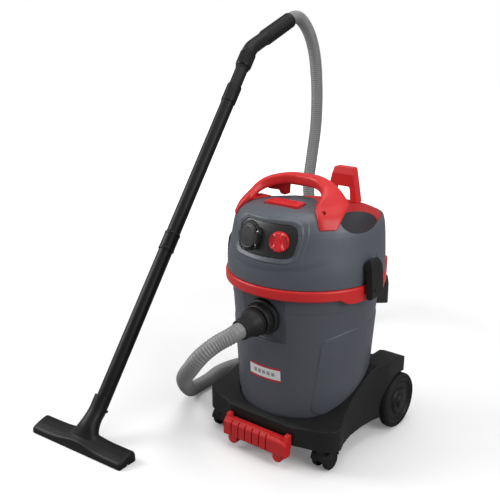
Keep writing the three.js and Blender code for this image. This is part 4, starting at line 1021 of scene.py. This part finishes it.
nub = placed(turned([(0, 2.5), (2.2, 3.5), (2.6, 5), (2.6, 13), (2.2, 14.5), (0, 15)], 20),
             at(36, 0, 0))
collar = joined(
    ring_of([(30.6, 0), (36, 0, 1), (36, 15, 2), (34, 18, 2), (30.6, 18, 1)], 96),
    repeated(nub, 8, turn=pi / 4),
)
collar = placed(collar, INLET_FRAME @ at(0, 0, 13.3))
collar = moulded(collar, "bayonet_ring", black_finish, 0.6, share=0.6)
finished(collar, "collar", "moulded_black", "bayonet_collar")

cuff = ring_of([
    (15.5, 10, 1), (23.6, 10), (23.6, 13.6), (30, 13.6, 1), (30, 32, 2), (32.5, 35, 2),
    (32.5, 46, 3), (25.5, 60, 12), (23.5, 86, 1), (22.3, 88, 1), (19.6, 88), (19.6, 68),
    (15.5, 68),
])
fitted(placed(cuff, INLET_FRAME), "hose_cuff", black_finish,
       "machine", "moulded_black", "machine_cuff", crease=50)

# ---------------------------------------------------------------- motor head
# The grey housing over the motor. Its front rises as a brow that frames the control panel, the
# dome ends in a flat rear deck, scoops open into both shoulders and vents into the back.
HEAD_FRONT = law([
    (427, 186), (455, 184.5), (472, 181.5), (490, 177), (510, 172), (530, 167.5), (550, 162.5),
    (565, 156), (576, 148), (584, 138), (589, 124), (592, 104), (593.5, 75), (594, 40),
])
HEAD_REAR = law([
    (427, 186), (455, 186), (490, 186), (520, 185.5), (540, 184), (551, 181.5), (565, 175),
    (576, 165), (584, 152), (589, 136), (592, 112), (593.5, 80), (594, 40),
])
# Heights in the head: its flat deck, and a height clear above everything that is cut away.
HEAD_DECK = 551
CLEAR = 640
DECK_RADIUS = 172.4


def rise(start, stop, value):
    """A smooth step from 0 to 1."""
    t = min(max((value - start) / (stop - start), 0), 1)
    return t * t * (3 - 2 * t)


def head_radius(angle, z):
    """How far the head's skin is from its axis. Angle 0 faces the front."""
    side = min(angle % (2 * pi), -angle % (2 * pi))
    front = (0.5 + 0.5 * cos(angle)) ** 1.2
    low = 462 + 14 * (side / radians(38)) ** 2
    brow = (1 - rise(radians(30), radians(54), side)) * rise(low, low + 12, z)
    brow *= 1 - rise(570, 590, z)
    return front * HEAD_FRONT(z) + (1 - front) * HEAD_REAR(z) + 3.5 * brow


def head_form(inset=0.0, sides=144):
    """The head's round form, its skin moved inwards by inset."""
    levels = [427, 435, 445, 455, 459, 463, 467, 471, 475, 480, 486, 494, 504, 515, 527, 539,
              550, 560, 566, 571, 576, 580, 583.5, 586.5, 589, 590.7, 592, 592.9, 593.6, 594]
    rings = []
    for k, z in enumerate(levels):
        below, above = levels[max(k - 1, 0)], levels[min(k + 1, len(levels) - 1)]
        ring = []
        for j in range(sides):
            angle = 2 * pi * j / sides
            slope = 0
            if k:
                slope = (head_radius(angle, above) - head_radius(angle, below)) / (above - below)
            reach = hypot(1, slope)
            r = head_radius(angle, z) - inset / reach
            ring.append((r * sin(angle), -r * cos(angle), z + slope * inset / reach))
        rings.append(ring)
    return loft(rings)


DECK_EDGE = [
    (-200, -64), (-100, -64), (-64, -46, 14), (-24, -4, 12), (24, -4, 12), (64, -46, 14),
    (100, -64), (200, -64), (200, 230), (-200, 230),
]
PANEL_EDGE = [
    (-54, 566, 6), (-73, 549, 6), (-72, 508, 8), (-63, 497, 8), (0, 493, 60), (60, 494, 8),
    (76, 501, 8), (82, 542, 10), (76, 560, 8), (60, 566, 8),
]
PANEL_CENTRE = (4, 530)
BUTTON_CENTRE, PLUNGER = (0, -84), at(0, -88, 0)
BUTTON_WELL = [(-48, -106, 9), (48, -106, 9), (42, -62, 9), (-42, -62, 9)]
RIM_TOP = [(-80, 567), (20, 563), (100, 556), (200, 548), (200, 640), (-80, 640)]


def seat_on_head(angle, z):
    """A frame on the head's skin whose +Z is its outward normal."""
    tilt = atan(-(head_radius(angle, z + 8) - head_radius(angle, z - 8)) / 16)
    r = head_radius(angle, z)
    place = at(r * sin(angle), -r * cos(angle), z)
    return place @ Matrix.Rotation(angle, 4, "Z") @ Matrix.Rotation(pi / 2 - tilt, 4, "X")


KNOB_SEAT = seat_on_head(radians(15), PANEL_CENTRE[1])
LID_SEAT = seat_on_head(radians(-13), PANEL_CENTRE[1])
GLAND_SEAT = seat_on_head(radians(142), 455)


def scoop(side, grow=0.0):
    """An air scoop: a long hollow between a foot of the handle and the deck."""
    profile = [(sin(pi * k / 24), -cos(pi * k / 24)) for k in range(1, 24)]
    ball = turned([(0, -1), *profile, (0, 1)], 64)
    size = Matrix.Diagonal((50 + grow, 98 + grow, 38 + grow, 1))
    turn = Matrix.Rotation(side * radians(28), 4, "Z")
    return placed(ball, at(side * 130, 8, 572) @ turn @ size)


def scaled(points, sx, sy, cx, cy):
    """An outline scaled about the point (cx, cy)."""
    return [(cx + (x - cx) * sx, cy + (y - cy) * sy, *more) for x, y, *more in points]


def panel_form(sx, sz, steps=6):
    """The panel's outline, scaled about its middle and carried through the head's front."""
    return front_prism(scaled(PANEL_EDGE, sx, sz, *PANEL_CENTRE), -230, -60, steps)


def head_housing():
    """The hollow head with its panel pocket, rims, scoops, deck, bores and vents."""
    pocket = cut(front_prism(PANEL_EDGE, -230, -60), head_form(5))
    rims = [
        shared(panel_form(sx, sz, 8), head_form(-lift))
        for sx, sz, lift in ((1.24, 1.46, 0.9), (1.13, 1.26, 3.2))
    ]
    bevel = [
        cut(panel_form(sx, sz), head_form(-lift))
        for sx, sz, lift in ((1.095, 1.19, 2.4), (1.07, 1.14, 1.5), (1.04, 1.08, 0.5))
    ]
    well = cut(prism(scaled(BUTTON_WELL, 1.01, 1.02, *BUTTON_CENTRE), 560, CLEAR), head_form(11))
    latch_edge = [(-58, 400), (-58, 476, 10), (-46, 502, 10), (6, 502, 10), (18, 476, 10),
                  (18, 400)]
    latch_pockets = [side_prism(latch_edge, 181, 230), side_prism(latch_edge, -230, -181)]
    deck = joined(
        shared(rod(DECK_RADIUS, HEAD_DECK, CLEAR, 160), prism(DECK_EDGE, HEAD_DECK, CLEAR)),
        shared(side_prism(RIM_TOP, -200, 200), prism(DECK_EDGE, HEAD_DECK, CLEAR)),
    )
    outside = cut(joined(head_form(), *rims), *bevel, pocket, deck, well, scoop(-1), scoop(1),
                  *latch_pockets)
    inside = turned([
        (0, 420), (181.6, 420), (181.6, 433), (175, 445), (172, 468), (160, 492), (120, 528),
        (66, 547.5), (0, 547.5),
    ], 96)
    vent = placed(box(-1.7, 1.7, 170, 196, 442, 472), Matrix.Rotation(radians(-15), 4, "Z"))
    return cut(
        outside, inside, placed(rod(16.4, -60, 10), KNOB_SEAT), placed(rod(27, -60, 10), LID_SEAT),
        placed(rod(7.6, 540, CLEAR), PLUNGER),
        placed(rod(8.6, -12, 6), GLAND_SEAT), repeated(vent, 7, turn=radians(5)),
    )


head_finish = grained("head_plastic", (0.092, 0.101, 0.122), 0.4, grain=0.1)
head = moulded(head_housing(), "head", head_finish, 1.2, share=0.23)
finished(head, "machine", "tank_grey", "head_housing")


def scoop_painted_shade(side):
    """A thin dark shell pressed into a scoop, flush with the head's skin: painted shade that
    darkens the hollow.
    """
    shell = cut(scoop(side), scoop(side, -1.3))
    return cut(shared(shell, head_form(0.4)), prism(DECK_EDGE, HEAD_DECK + 4, CLEAR))


# Painted shade: a dark grey shell lines each scoop so that its hollow looks shaded.
scoop_shade_finish = grained("painted_scoop_shade", (0.026, 0.029, 0.035), 0.6, grain=0.1, shine=0.3)
for name, side in SIDES:
    painted_shade = moulded(scoop_painted_shade(side), f"scoop_{name}_lining", scoop_shade_finish, 0.5, passes=1,
                     share=0.16)
    finished(painted_shade, "machine", "tank_grey")

# ---------------------------------------------------------------- control panel
# A black plate sits in the head's pocket. It carries the socket for a power tool under a round
# sprung lid, which hangs on a steel pin beside it, and the red knob of the rotary switch.
def control_panel():
    """The black plate, flush in its pocket, with holes for socket and knob."""
    plate = shared(panel_form(0.994, 0.99), head_form(1))
    return cut(plate, head_form(4.4), placed(rod(6.8, -30, 10), KNOB_SEAT),
               placed(rod(33.6, -30, 10, 72), LID_SEAT))


panel_finish = grained("panel_plastic", (0.02, 0.0205, 0.0205), 0.4, grain=0.1, cloud=0.08)
panel = moulded(control_panel(), "panel", panel_finish, 0.8, passes=1)
finished(panel, "machine", "moulded_black", "control_panel")


LID_PIN = at(31.5, 0, 4.4) @ FORWARD


def socket_cup():
    """The socket's cup, with two contact holes and the lugs of its lid's hinge."""
    body = ring_of([
        (0.5, -34), (26, -34), (26, -4.6), (33, -4.6), (33, 0.4, 1.2), (27, 0.8, 1), (23.5, -2, 1),
        (23.5, -24), (0.5, -24),
    ], 96)
    core = rod(0.6, -34, -24, 12)
    strip = shared(box(28.6, 37, -27, 27, -4.6, 4.2), rod(38.5, -10, 10, 96))
    lugs = [box(29, 35.6, y, y + 4.6, 0, 7.4) for y in (-14, 9.4)]
    keyway = box(28, 34.6, -9.4, 9.4, 0, 10)
    pins = [placed(rod(2.4, -30, -20, 20), at(x, 0, 0)) for x in (-9.5, 9.5)]
    hinge = placed(rod(1.4, -20, 20, 16), LID_PIN)
    return cut(joined(body, core, strip, *lugs), keyway, *pins, hinge)


cup = moulded(placed(socket_cup(), LID_SEAT), "socket", black_finish, 0.6, passes=1)
finished(cup, "machine", "moulded_black", "socket_insert")

steel_finish = grained("bright_steel", (0.72, 0.73, 0.74), 0.22, grain=0.03, cloud=0.05, metal=1)
pin = turned([(0, -17.4), (1.6, -16.8), (2.2, -15.4), (2, -14.3), (1, -14), (1, 14), (2, 14.3),
              (2.2, 15.4), (1.6, 16.8), (0, 17.4)], 20)
pin = placed(pin, LID_SEAT @ LID_PIN)
fitted(pin, "lid_pin", steel_finish, "machine", "bright_steel", "socket_hinge_pin")


def socket_lid():
    """A round lid with a knuckle on its pin and a small tab to lift it by."""
    disc = turned([(0, -2.4), (29, -2.4), (29, -0.6), (28.4, 0.4), (26.8, 1.6), (25.6, 1.8),
                   (24.6, 1.1), (23.4, 1.1), (22, 1.9), (0, 2.3)], 96)
    knuckle = placed(rod(2.4, -9.1, 9.1, 24), LID_PIN)
    arm = box(22, 31.5, -9.1, 9.1, 2, 5.2)
    tab = box(-30.5, -24, -5, 5, -1, 1.6)
    bore = placed(rod(1.4, -20, 20, 16), LID_PIN)
    return cut(joined(placed(disc, at(0, 0, 4.4)), knuckle, arm,
                      placed(tab, at(0, 0, 4.4))), bore)


lid = moulded(placed(socket_lid(), LID_SEAT), "socket_cover", panel_finish, 0.55, passes=1)
finished(lid, "lid", "moulded_black", "socket_lid")


def power_knob():
    """A disc with a raised bar between two dished finger grips."""
    disc = turned([(0, 0), (23, 0), (23.2, 1.5), (22.8, 4), (21.4, 8), (19, 11.6), (15, 13.6),
                   (0, 14)], 96)
    bar = shared(
        front_prism([(-7, 4), (-5, 18.4, 3), (5, 18.4, 3), (7, 4)], -23, 23),
        turned([(0, 0), (23, 0), (22.6, 8), (20.5, 16), (18, 19.5), (0, 19.5)], 96),
    )
    dishes = [
        placed(turned([(0, 5), (9, 5.6), (12.5, 9), (14.5, 18), (0, 18)], 48),
               at(side * 14.5, 0, 0) @ Matrix.Diagonal((0.62, 1.22, 1, 1)))
        for side in (-1, 1)
    ]
    mark = box(-0.9, 0.9, 8, 21, 18, 20)
    return cut(joined(cut(disc, *dishes), bar, rod(6, -20, 1, 32)), mark)


knob_finish = grained("knob_plastic", (0.68, 0.014, 0.02), 0.2, grain=0.01, cloud=0.03, coat=0.6)
knob = moulded(placed(power_knob(), KNOB_SEAT), "knob", knob_finish, 0.55)
finished(knob, "knob", "signal_red", "power_knob")

# ---------------------------------------------------------------- carrying handle
# A hollow arch of glossy red plastic. Its broad feet are screwed onto the head's shoulders, it
# narrows to a round bar over the dome, and a small rest hangs below the bar's left part.
HANDLE_SECTIONS = [
    ((127, -103, 556), (13, 15, 0), (3.6, -3.2, 1.4)),
    ((121, -88, 578), (17, 24, 0), (5.4, -4.6, 2.4)),
    ((111, -66, 597), (20, 33, 0), (6, -4.6, 5)),
    ((102, -52, 611), (13, 29, 0), (6, -4, 8)),
    ((88, -40, 622), (7, 23, 0), (5, -2.6, 11)),
    ((66, -26, 630), (3, 20, 0), (3, -1.3, 12.4)),
    ((35, -14, 634.5), (0.5, 17, 0), (0.8, -0.4, 13.6)),
    ((0, -12, 635), (0.01, 16, 0), (0, 0, 13.8)),
]
HANDLE_SCREW = Vector((0.72, -0.61, 0.35)).normalized()


def evenly(points, per_span):
    """Points along a smooth curve through evenly spaced stations."""
    padded = [2 * points[0] - points[1], *points, 2 * points[-1] - points[-2]]
    run = []
    for a, b, c, d in zip(padded, padded[1:], padded[2:], padded[3:]):
        for k in range(per_span):
            t = k / per_span
            run.append(0.5 * (2 * b + (c - a) * t + (2 * a - 5 * b + 4 * c - d) * t * t
                              + (3 * b - a - 3 * c + d) * t ** 3))
    return [*run, points[-1]]


def oval(centre, a, b, count=48, square=2.6):
    """A closed ring round a centre: an oval with the half-axes a and b, a little squared."""
    ring = []
    for k in range(count):
        c, s = cos(2 * pi * k / count), sin(2 * pi * k / count)
        u = abs(c) ** (2 / square) * (1 if c >= 0 else -1)
        v = abs(s) ** (2 / square) * (1 if s >= 0 else -1)
        ring.append(centre + a * u + b * v)
    return ring


def carry_handle():
    """The arch, its two feet on the head, the rest under it and two screw holes."""
    right = [[Vector(p) for p in section] for section in HANDLE_SECTIONS]
    left = [[Vector((-p.x, p.y, p.z)) for p in section] for section in right[-2::-1]]
    keys = [*right, *left]
    tracks = [evenly([key[k] for key in keys], 8) for k in range(3)]
    arch = loft([oval(*section, square=3.6) for section in zip(*tracks)])
    foot = [(60, -54, 6), (114, -120, 3), (141, -88, 4), (138, -60, 8), (100, -44)]
    feet = []
    for side in (-1, 1):
        edge = foot if side > 0 else mirrored(foot)
        skin = cut(head_form(-3.2), head_form(-0.3))
        feet.append(cut(shared(skin, prism(edge, 555, CLEAR)), scoop(side)))
    rest = front_prism([(-100, 616), (-96, 603, 4), (-64, 604, 2), (-60, 596, 3), (-46, 594, 3),
                        (-44, 630)], -24, -3)
    screws = []
    for side in (-1, 1):
        way = Vector((side * HANDLE_SCREW.x, HANDLE_SCREW.y, HANDLE_SCREW.z))
        turn = way.to_track_quat("Z", "Y").to_matrix().to_4x4()
        place = at(side * 112, -99, 591) @ turn
        screws.append(placed(rod(4.4, -9, 20), place))
    return cut(joined(arch, *feet, rest), head_form(-0.3), *screws)


handle = moulded(carry_handle(), "handle", red_finish, 0.9, share=0.35)
finished(handle, "machine", "signal_red", "carry_handle")

# ---------------------------------------------------------------- rear deck and hose bracket
# A red tray lies in the well behind the dome, for a tool or a case. A red bracket stands up at
# its back, with a window to hang the hose's end or the cable in.
def rear_deck():
    """A tray with a sunken field."""
    plate = turned([(0, 551.3), (171.9, 551.3), (171.9, 555), (171.2, 555.5), (0, 555.5)], 160)
    behind = placed(prism(DECK_EDGE, 540, CLEAR), at(0, 0.7, 0))
    field = turned([(0, 554.4), (158, 554.4), (159.5, 560), (0, 560)], 160)
    inner = placed(prism(DECK_EDGE, 540, CLEAR), at(0, 13, 0))
    tray = cut(shared(plate, behind), scoop(-1, 0.4), scoop(1, 0.4))
    rim = joined(scoop(-1, 10), scoop(1, 10), box(-56, 56, 136, 180, 540, CLEAR))
    return cut(tray, cut(shared(field, inner), rim))


# Painted shade: the tray's red is the other red parts' red made darker, as if the well it lies in
# were in shade.
deck_shaded_red = grained("deck_painted_shade", (0.4, 0.014, 0.016), 0.5, grain=0.12, shine=0.3)
deck = moulded(rear_deck(), "deck", deck_shaded_red, 0.8, passes=1, share=0.35)
finished(deck, "machine", "signal_red", "rear_deck")


def hose_bracket():
    """A tapering frame with a slanted front, hollow behind."""
    outer = front_prism([
        (-44, 555.8), (-42, 566, 8), (-24, 640, 5), (30, 640, 5), (44, 566, 8), (46, 555.8),
    ], 146, 170)
    window = front_prism([(-25, 540), (-23, 593, 7), (23, 593, 7), (27, 540)], 100, 200)
    slope = side_prism([(140, 700), (140, 600), (153, 650), (166, 650), (166, 700)], -60, 60)
    hollow = front_prism([
        (-39, 561), (-38, 568, 4), (-21, 634, 4), (26, 634, 4), (39, 568, 4), (40, 561),
        (32, 561), (27.5, 598, 8), (-27.5, 598, 8), (-30, 561),
    ], 160, 175)
    return cut(outer, window, slope, hollow)


bracket = moulded(hose_bracket(), "bracket", red_finish, 0.9)
finished(bracket, "machine", "signal_red", "hose_bracket")

# ---------------------------------------------------------------- filter button and cable gland
# A broad red button on the dome shakes the filter clean when it is pressed. Grip ridges cross
# its flat top. The mains lead leaves the head's back through a black gland.
def clean_button():
    """A dished cap with three ridges, on a plunger."""
    edge = scaled(BUTTON_WELL, 0.975, 0.96, *BUTTON_CENTRE)
    cap = prism(edge, 560, 597)
    dish = front_prism([(-34, 604), (-30, 595.4, 4), (30, 595.4, 4), (34, 604)], -99, -69)
    ridges = [box(-25, 25, -86 + k * 9, -82.6 + k * 9, 590, 598.8) for k in (-1, 0, 1)]
    cap = cut(joined(cut(cap, dish), *ridges), head_form(2))
    return joined(cap, placed(rod(5.5, 566, 592), PLUNGER))


button = moulded(clean_button(), "button", red_finish, 0.7)
finished(button, "button", "signal_red", "clean_button")

gland = ring_of([
    (4, -10), (8, -10), (8, 0.7), (13, 0.7), (13, 4, 1), (9.4, 5, 1), (9, 6.4), (7.8, 6.4),
    (7.8, 7.4), (8.5, 7.4), (8, 9), (7, 9), (7, 10), (7.4, 10), (7, 12, 1), (4, 12),
], 48)
fitted(placed(gland, GLAND_SEAT), "gland", black_finish,
       "machine", "moulded_black", "cable_gland", crease=50)

# ---------------------------------------------------------------- floor nozzle
# A wide black nozzle lies flat on the floor. Its wedge rises to a round neck that takes the
# wand, and two rubber lips stand in grooves beside the suction slot underneath.
NOZZLE_FRAME = at(-353.5, -417, 0) @ Matrix.Rotation(radians(3.7), 4, "Z")
WAND_LEAN = at(0, 5.2, 0) @ Matrix.Rotation(-radians(37.75), 4, "X")
TUBE_R = 18.7


def floor_nozzle():
    """A wedge swept from end to end, with a neck, a cuff, a slot and its grooves."""
    half, d = 149.5, 28
    runs = [(-half, 0.88), (-half + 1, 0.94), (-half + 2.5, 0.98), (-half + 5, 1)]
    runs += [(x, 1) for x in range(-130, 0, 10)]
    runs = runs + [(0, 1)] + [(-x, k) for x, k in reversed(runs)]
    rings = []
    for x, k in runs:
        crown = 9 * exp(-((x / 46) ** 2))
        edge = outline([
            (-d * k, 0), (-d * k, 11 * k, 2), ((4 - d) * k, (16 + crown) * k, 3),
            (-8 * k, (22 + crown) * k, 3), (10 * k, (27 + crown) * k, 4),
            (20 * k, (28 + crown) * k, 5), ((d - 3) * k, (24 + crown) * k, 3),
            (d * k, 16 * k, 2), (d * k, 0),
        ], 4)
        rings.append([(x, p.x, p.y) for p in edge])
    sections = [
        ((0, 4, 10), (64, 0, 0), (0, 23, 0)), ((0, 8, 24), (50, 0, 0), (0, 22, -1)),
        ((0, 16, 34), (35, 0, 0), (0, 22, -5)), ((0, 27, 46), (26.5, 0, 0), (0, 21, -10)),
        ((0, 39, 57), (22.8, 0, 0), (0, 18, -12)), ((0, 55, 71.5), (21.8, 0, 0), (0, 16.9, -12.9)),
        ((0, 77.1, 99.6), (21.4, 0, 0), (0, 16.9, -13.1)),
    ]
    tracks = [evenly([Vector(s[k]) for s in sections], 6) for k in range(3)]
    neck = loft([oval(*section, 48, 2) for section in zip(*tracks)])
    cuff = placed(turned([(15, 88), (21.8, 88), (22.6, 89.5), (22.6, 93), (21.8, 94.5), (15, 94.5)],
                         64, closed=True), WAND_LEAN)
    tools = [
        placed(rod(16.4, 22, 160), WAND_LEAN), placed(rod(TUBE_R + 0.6, 80, 160), WAND_LEAN),
        box(-30, 30, -10, 20, -1, 22), box(-132, 132, -12, 10, -1, 8),
        box(-138, 138, -25, -20.6, -1, 8), box(-138, 138, 17, 21.4, -1, 8),
        box(-200, 200, -60, 120, -40, 0), box(-half - 9, 9 - half, -3, 3, -1, 3),
        box(half - 9, half + 9, -3, 3, -1, 3),
    ]
    return placed(cut(joined(loft(rings), neck, cuff), *tools), NOZZLE_FRAME)


wand_finish = grained("wand_plastic", (0.006, 0.006, 0.0062), 0.42, grain=0.05, shine=0.26)
nozzle = moulded(floor_nozzle(), "nozzle", wand_finish, 0.8, passes=1, share=0.35)
finished(nozzle, "machine", "moulded_black", "floor_nozzle")

lip_finish = grained("lip_rubber", (0.02, 0.02, 0.02), 0.65, grain=0.1, cloud=0.1)
for name, y in (("front", -22.8), ("rear", 19.2)):
    tooth = side_prism([(y - 1.9, 0.4), (y - 1.9, 7.7), (y + 1.9, 7.7), (y + 1.9, 0.4)], 0, 4.2)
    strip = repeated(tooth, 50, pitch=5.5)
    back = box(-137.7, 137.7, y - 1.9, y + 1.9, 3.4, 7.7)
    lip = joined(back, placed(strip, at(-136.9, 0, 0)))
    fitted(placed(lip, NOZZLE_FRAME), f"lip_{name}", lip_finish,
           "machine", "seal_rubber", f"nozzle_lip_{name}")

# ---------------------------------------------------------------- wand and hand grip
# Two black tubes push together at a swelled joint. The ribbed hand grip plugs into the upper
# one and bends towards the hand, and a ring on it bleeds off suction when it is turned.
WAND_FRAME = NOZZLE_FRAME @ WAND_LEAN
TUBE_BORE = TUBE_R - 1.6

lower = ring_of([(TUBE_BORE, 80.3, 0.5), (TUBE_R, 80.3, 0.5), (TUBE_R, 567, 0.5),
                 (TUBE_BORE, 567, 0.5)], 96)
fitted(placed(lower, WAND_FRAME), "wand_lower", wand_finish,
       "machine", "moulded_black", "lower_tube", crease=50)
upper = ring_of([
    (TUBE_R + 0.4, 520), (20.6, 520, 0.6), (21.2, 521.5, 0.6), (21.2, 526, 0.5), (20.5, 527, 0.5),
    (20.5, 563, 0.5), (21.2, 564, 0.5), (21.2, 569, 1), (TUBE_R, 572, 1), (TUBE_R, 966, 1),
    (20.7, 968, 1), (20.7, 1018, 1), (20, 1020, 1), (TUBE_BORE, 1020), (TUBE_BORE, 567.3),
    (TUBE_R + 0.4, 567.3),
], 96)
fitted(placed(upper, WAND_FRAME), "wand_upper", wand_finish,
       "machine", "moulded_black", "upper_tube", crease=50)

GRIP_FRAME = WAND_FRAME @ Matrix.Rotation(-radians(6.8), 4, "Z")
GRIP_BEND, GRIP_BEND_AT, GRIP_LENGTH = radians(30.4), 1143, 196
GRIP_END = GRIP_BEND_AT + GRIP_LENGTH
GRIP_BEND_R = 60
AIR_PORT = (1096, 1110)


def bent(sections, count=72):
    """Round sections along the wand's line, which bends at the grip."""
    radius = GRIP_BEND_R
    start = GRIP_BEND_AT - radius * tan(GRIP_BEND / 2)
    rings = []
    for s, r in sections:
        swept = min(max((s - start) / radius, 0), GRIP_BEND)
        along = s - start - swept * radius
        before, after = min(along, 0), max(along, 0)
        centre = Vector((0, radius * (1 - cos(swept)) + after * sin(swept),
                         start + before + radius * sin(swept) + after * cos(swept)))
        rings.append(oval(centre, Vector((r, 0, 0)), Vector((0, cos(swept), -sin(swept))) * r,
                          count, 2))
    return loft(rings)


def fine(sections, pace=4.0):
    """The same sections with others between them, so that a bend is smooth."""
    run = []
    for (s0, r0), (s1, r1) in zip(sections, sections[1:]):
        steps = max(1, int((s1 - s0) / pace)) if s1 > 1120 else 1
        run += [(s0 + (s1 - s0) * k / steps, r0 + (r1 - r0) * k / steps) for k in range(steps)]
    return [*run, sections[-1]]


def hand_grip():
    """A bent hollow grip with eleven ribs and an air port."""
    ribs = []
    for k in range(11):
        s = GRIP_END - 128 + k * 10.6
        ribs += [(s, 20.8), (s + 0.8, 20.9), (s + 2.2, 22.4), (s + 4.4, 22.9), (s + 6.6, 22.4),
                 (s + 8, 20.9)]
    outside = bent(fine([
        (986, 16.2), (987, 16.6), (1020, 16.6), (1020.4, 17.5), (1075, 17.5), (1075.4, 19),
        (1076, 19.4), (1078.8, 19.4), (1079.4, 19), (1079.8, 17.5), (1125.6, 17.5),
        (1126, 20), (1127, 20.5), (1150, 20.3), (1180, 20), (1200, 20.2), *ribs,
        (GRIP_END - 10, 21.6), (GRIP_END - 8, 22.8), (GRIP_END - 2, 22.6), (GRIP_END, 21.4),
    ]))
    inside = bent(fine([(970, 14.7), (GRIP_END - 20, 14.7), (GRIP_END - 19.8, 20.2),
                        (GRIP_END + 20, 20.2)]))
    return cut(outside, inside, box(-4, 4, 10, 30, *AIR_PORT))


grip_finish = grained("grip_plastic", (0.009, 0.009, 0.0093), 0.5, grain=0.2, shine=0.3)
fitted(placed(hand_grip(), GRIP_FRAME), "grip", grip_finish,
       "machine", "moulded_black", "hand_grip", crease=40)


def bleed_ring():
    """A turning sleeve with a knurl and a port of its own."""
    hoop = ring_of([(18, 1080.2), (20, 1080.2), (22.2, 1084.5, 2), (22.4, 1090), (22.4, 1124, 1),
                    (21.6, 1125), (18, 1125)], 96)
    groove = at(22.8, 0, 0)
    grooves = repeated(placed(rod(1.1, 1088, 1122, 12), groove), 36, turn=pi / 18)
    port = placed(box(-5, 5, 10, 30, *AIR_PORT), Matrix.Rotation(-radians(60), 4, "Z"))
    return cut(hoop, grooves, port)


fitted(placed(bleed_ring(), GRIP_FRAME), "bleed", wand_finish,
       "bleed", "moulded_black", "bleed_ring", crease=40)

# ---------------------------------------------------------------- motor, filter and float
# Under the head hang the motor, its turbine in a cast housing on a rubber mount, and a pleated
# fleece cartridge over a cage. The cage's foam float rises with the water and shuts the air off.
casting_finish = grained("motor_casting", (0.3, 0.31, 0.32), 0.5, grain=0.5, cloud=0.12,
                         metal=0.8)
gasket_finish = grained("gasket_rubber", (0.018, 0.018, 0.019), 0.7, grain=0.15, cloud=0.12)
float_finish = grained("float_foam", (0.78, 0.78, 0.75), 0.7, grain=0.4, cloud=0.05)
for node_name, finish in [
    ("rim_gasket", gasket_finish), ("motor_mount", gasket_finish), ("head_floor", black_finish),
    ("rotary_switch", panel_finish), ("inlet_deflector", black_finish),
    ("turbine_housing", casting_finish), ("motor_can", axle_finish),
    ("float_cage", black_finish), ("float", float_finish), ("filter_retainer", black_finish),
]:
    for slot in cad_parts[node_name].material_slots:
        slot.material = finish


def fleece(material_name):
    """A pressed filter fleece: short crossing fibres, matt and a little uneven."""
    material, nodes, links, shader, coordinates = new_material(material_name)
    fibres = noise_of(nodes, links, coordinates, Scale=620, Detail=5, Distortion=2.5)
    shade = nodes.new("ShaderNodeValToRGB")
    shade.color_ramp.elements[0].color = (0.55, 0.53, 0.47, 1)
    shade.color_ramp.elements[1].color = (0.8, 0.79, 0.73, 1)
    links.new(fibres, shade.inputs["Fac"])
    links.new(shade.outputs["Color"], shader.inputs["Base Color"])
    bumped(nodes, links, shader, fibres, 0.6, 0.0006)
    set_inputs(shader, Roughness=0.95)
    return material


def filter_cartridge():
    """Eighty pleats stand round the cage between two moulded end rings."""
    pleats, low, high = 80, 280, 414
    fold = loft([
        [(r * cos(a), r * sin(a), z) for r, a in (
            (44.3, -pi / pleats), (53, -pi / pleats), (65.6, -0.3 * pi / pleats),
            (65.6, 0.3 * pi / pleats), (53, pi / pleats), (44.3, pi / pleats))]
        for z in (low, high)
    ])
    rings = [ring_of([(44, z), (68, z, 2), (68, z + 10, 2), (44, z + 10)], 96) for z in (272, 412)]
    return joined(repeated(fold, pleats, turn=2 * pi / pleats), *rings)


fitted(filter_cartridge(), "cartridge", fleece("filter_fleece"),
       "machine", "filter_fleece", "filter_cartridge")
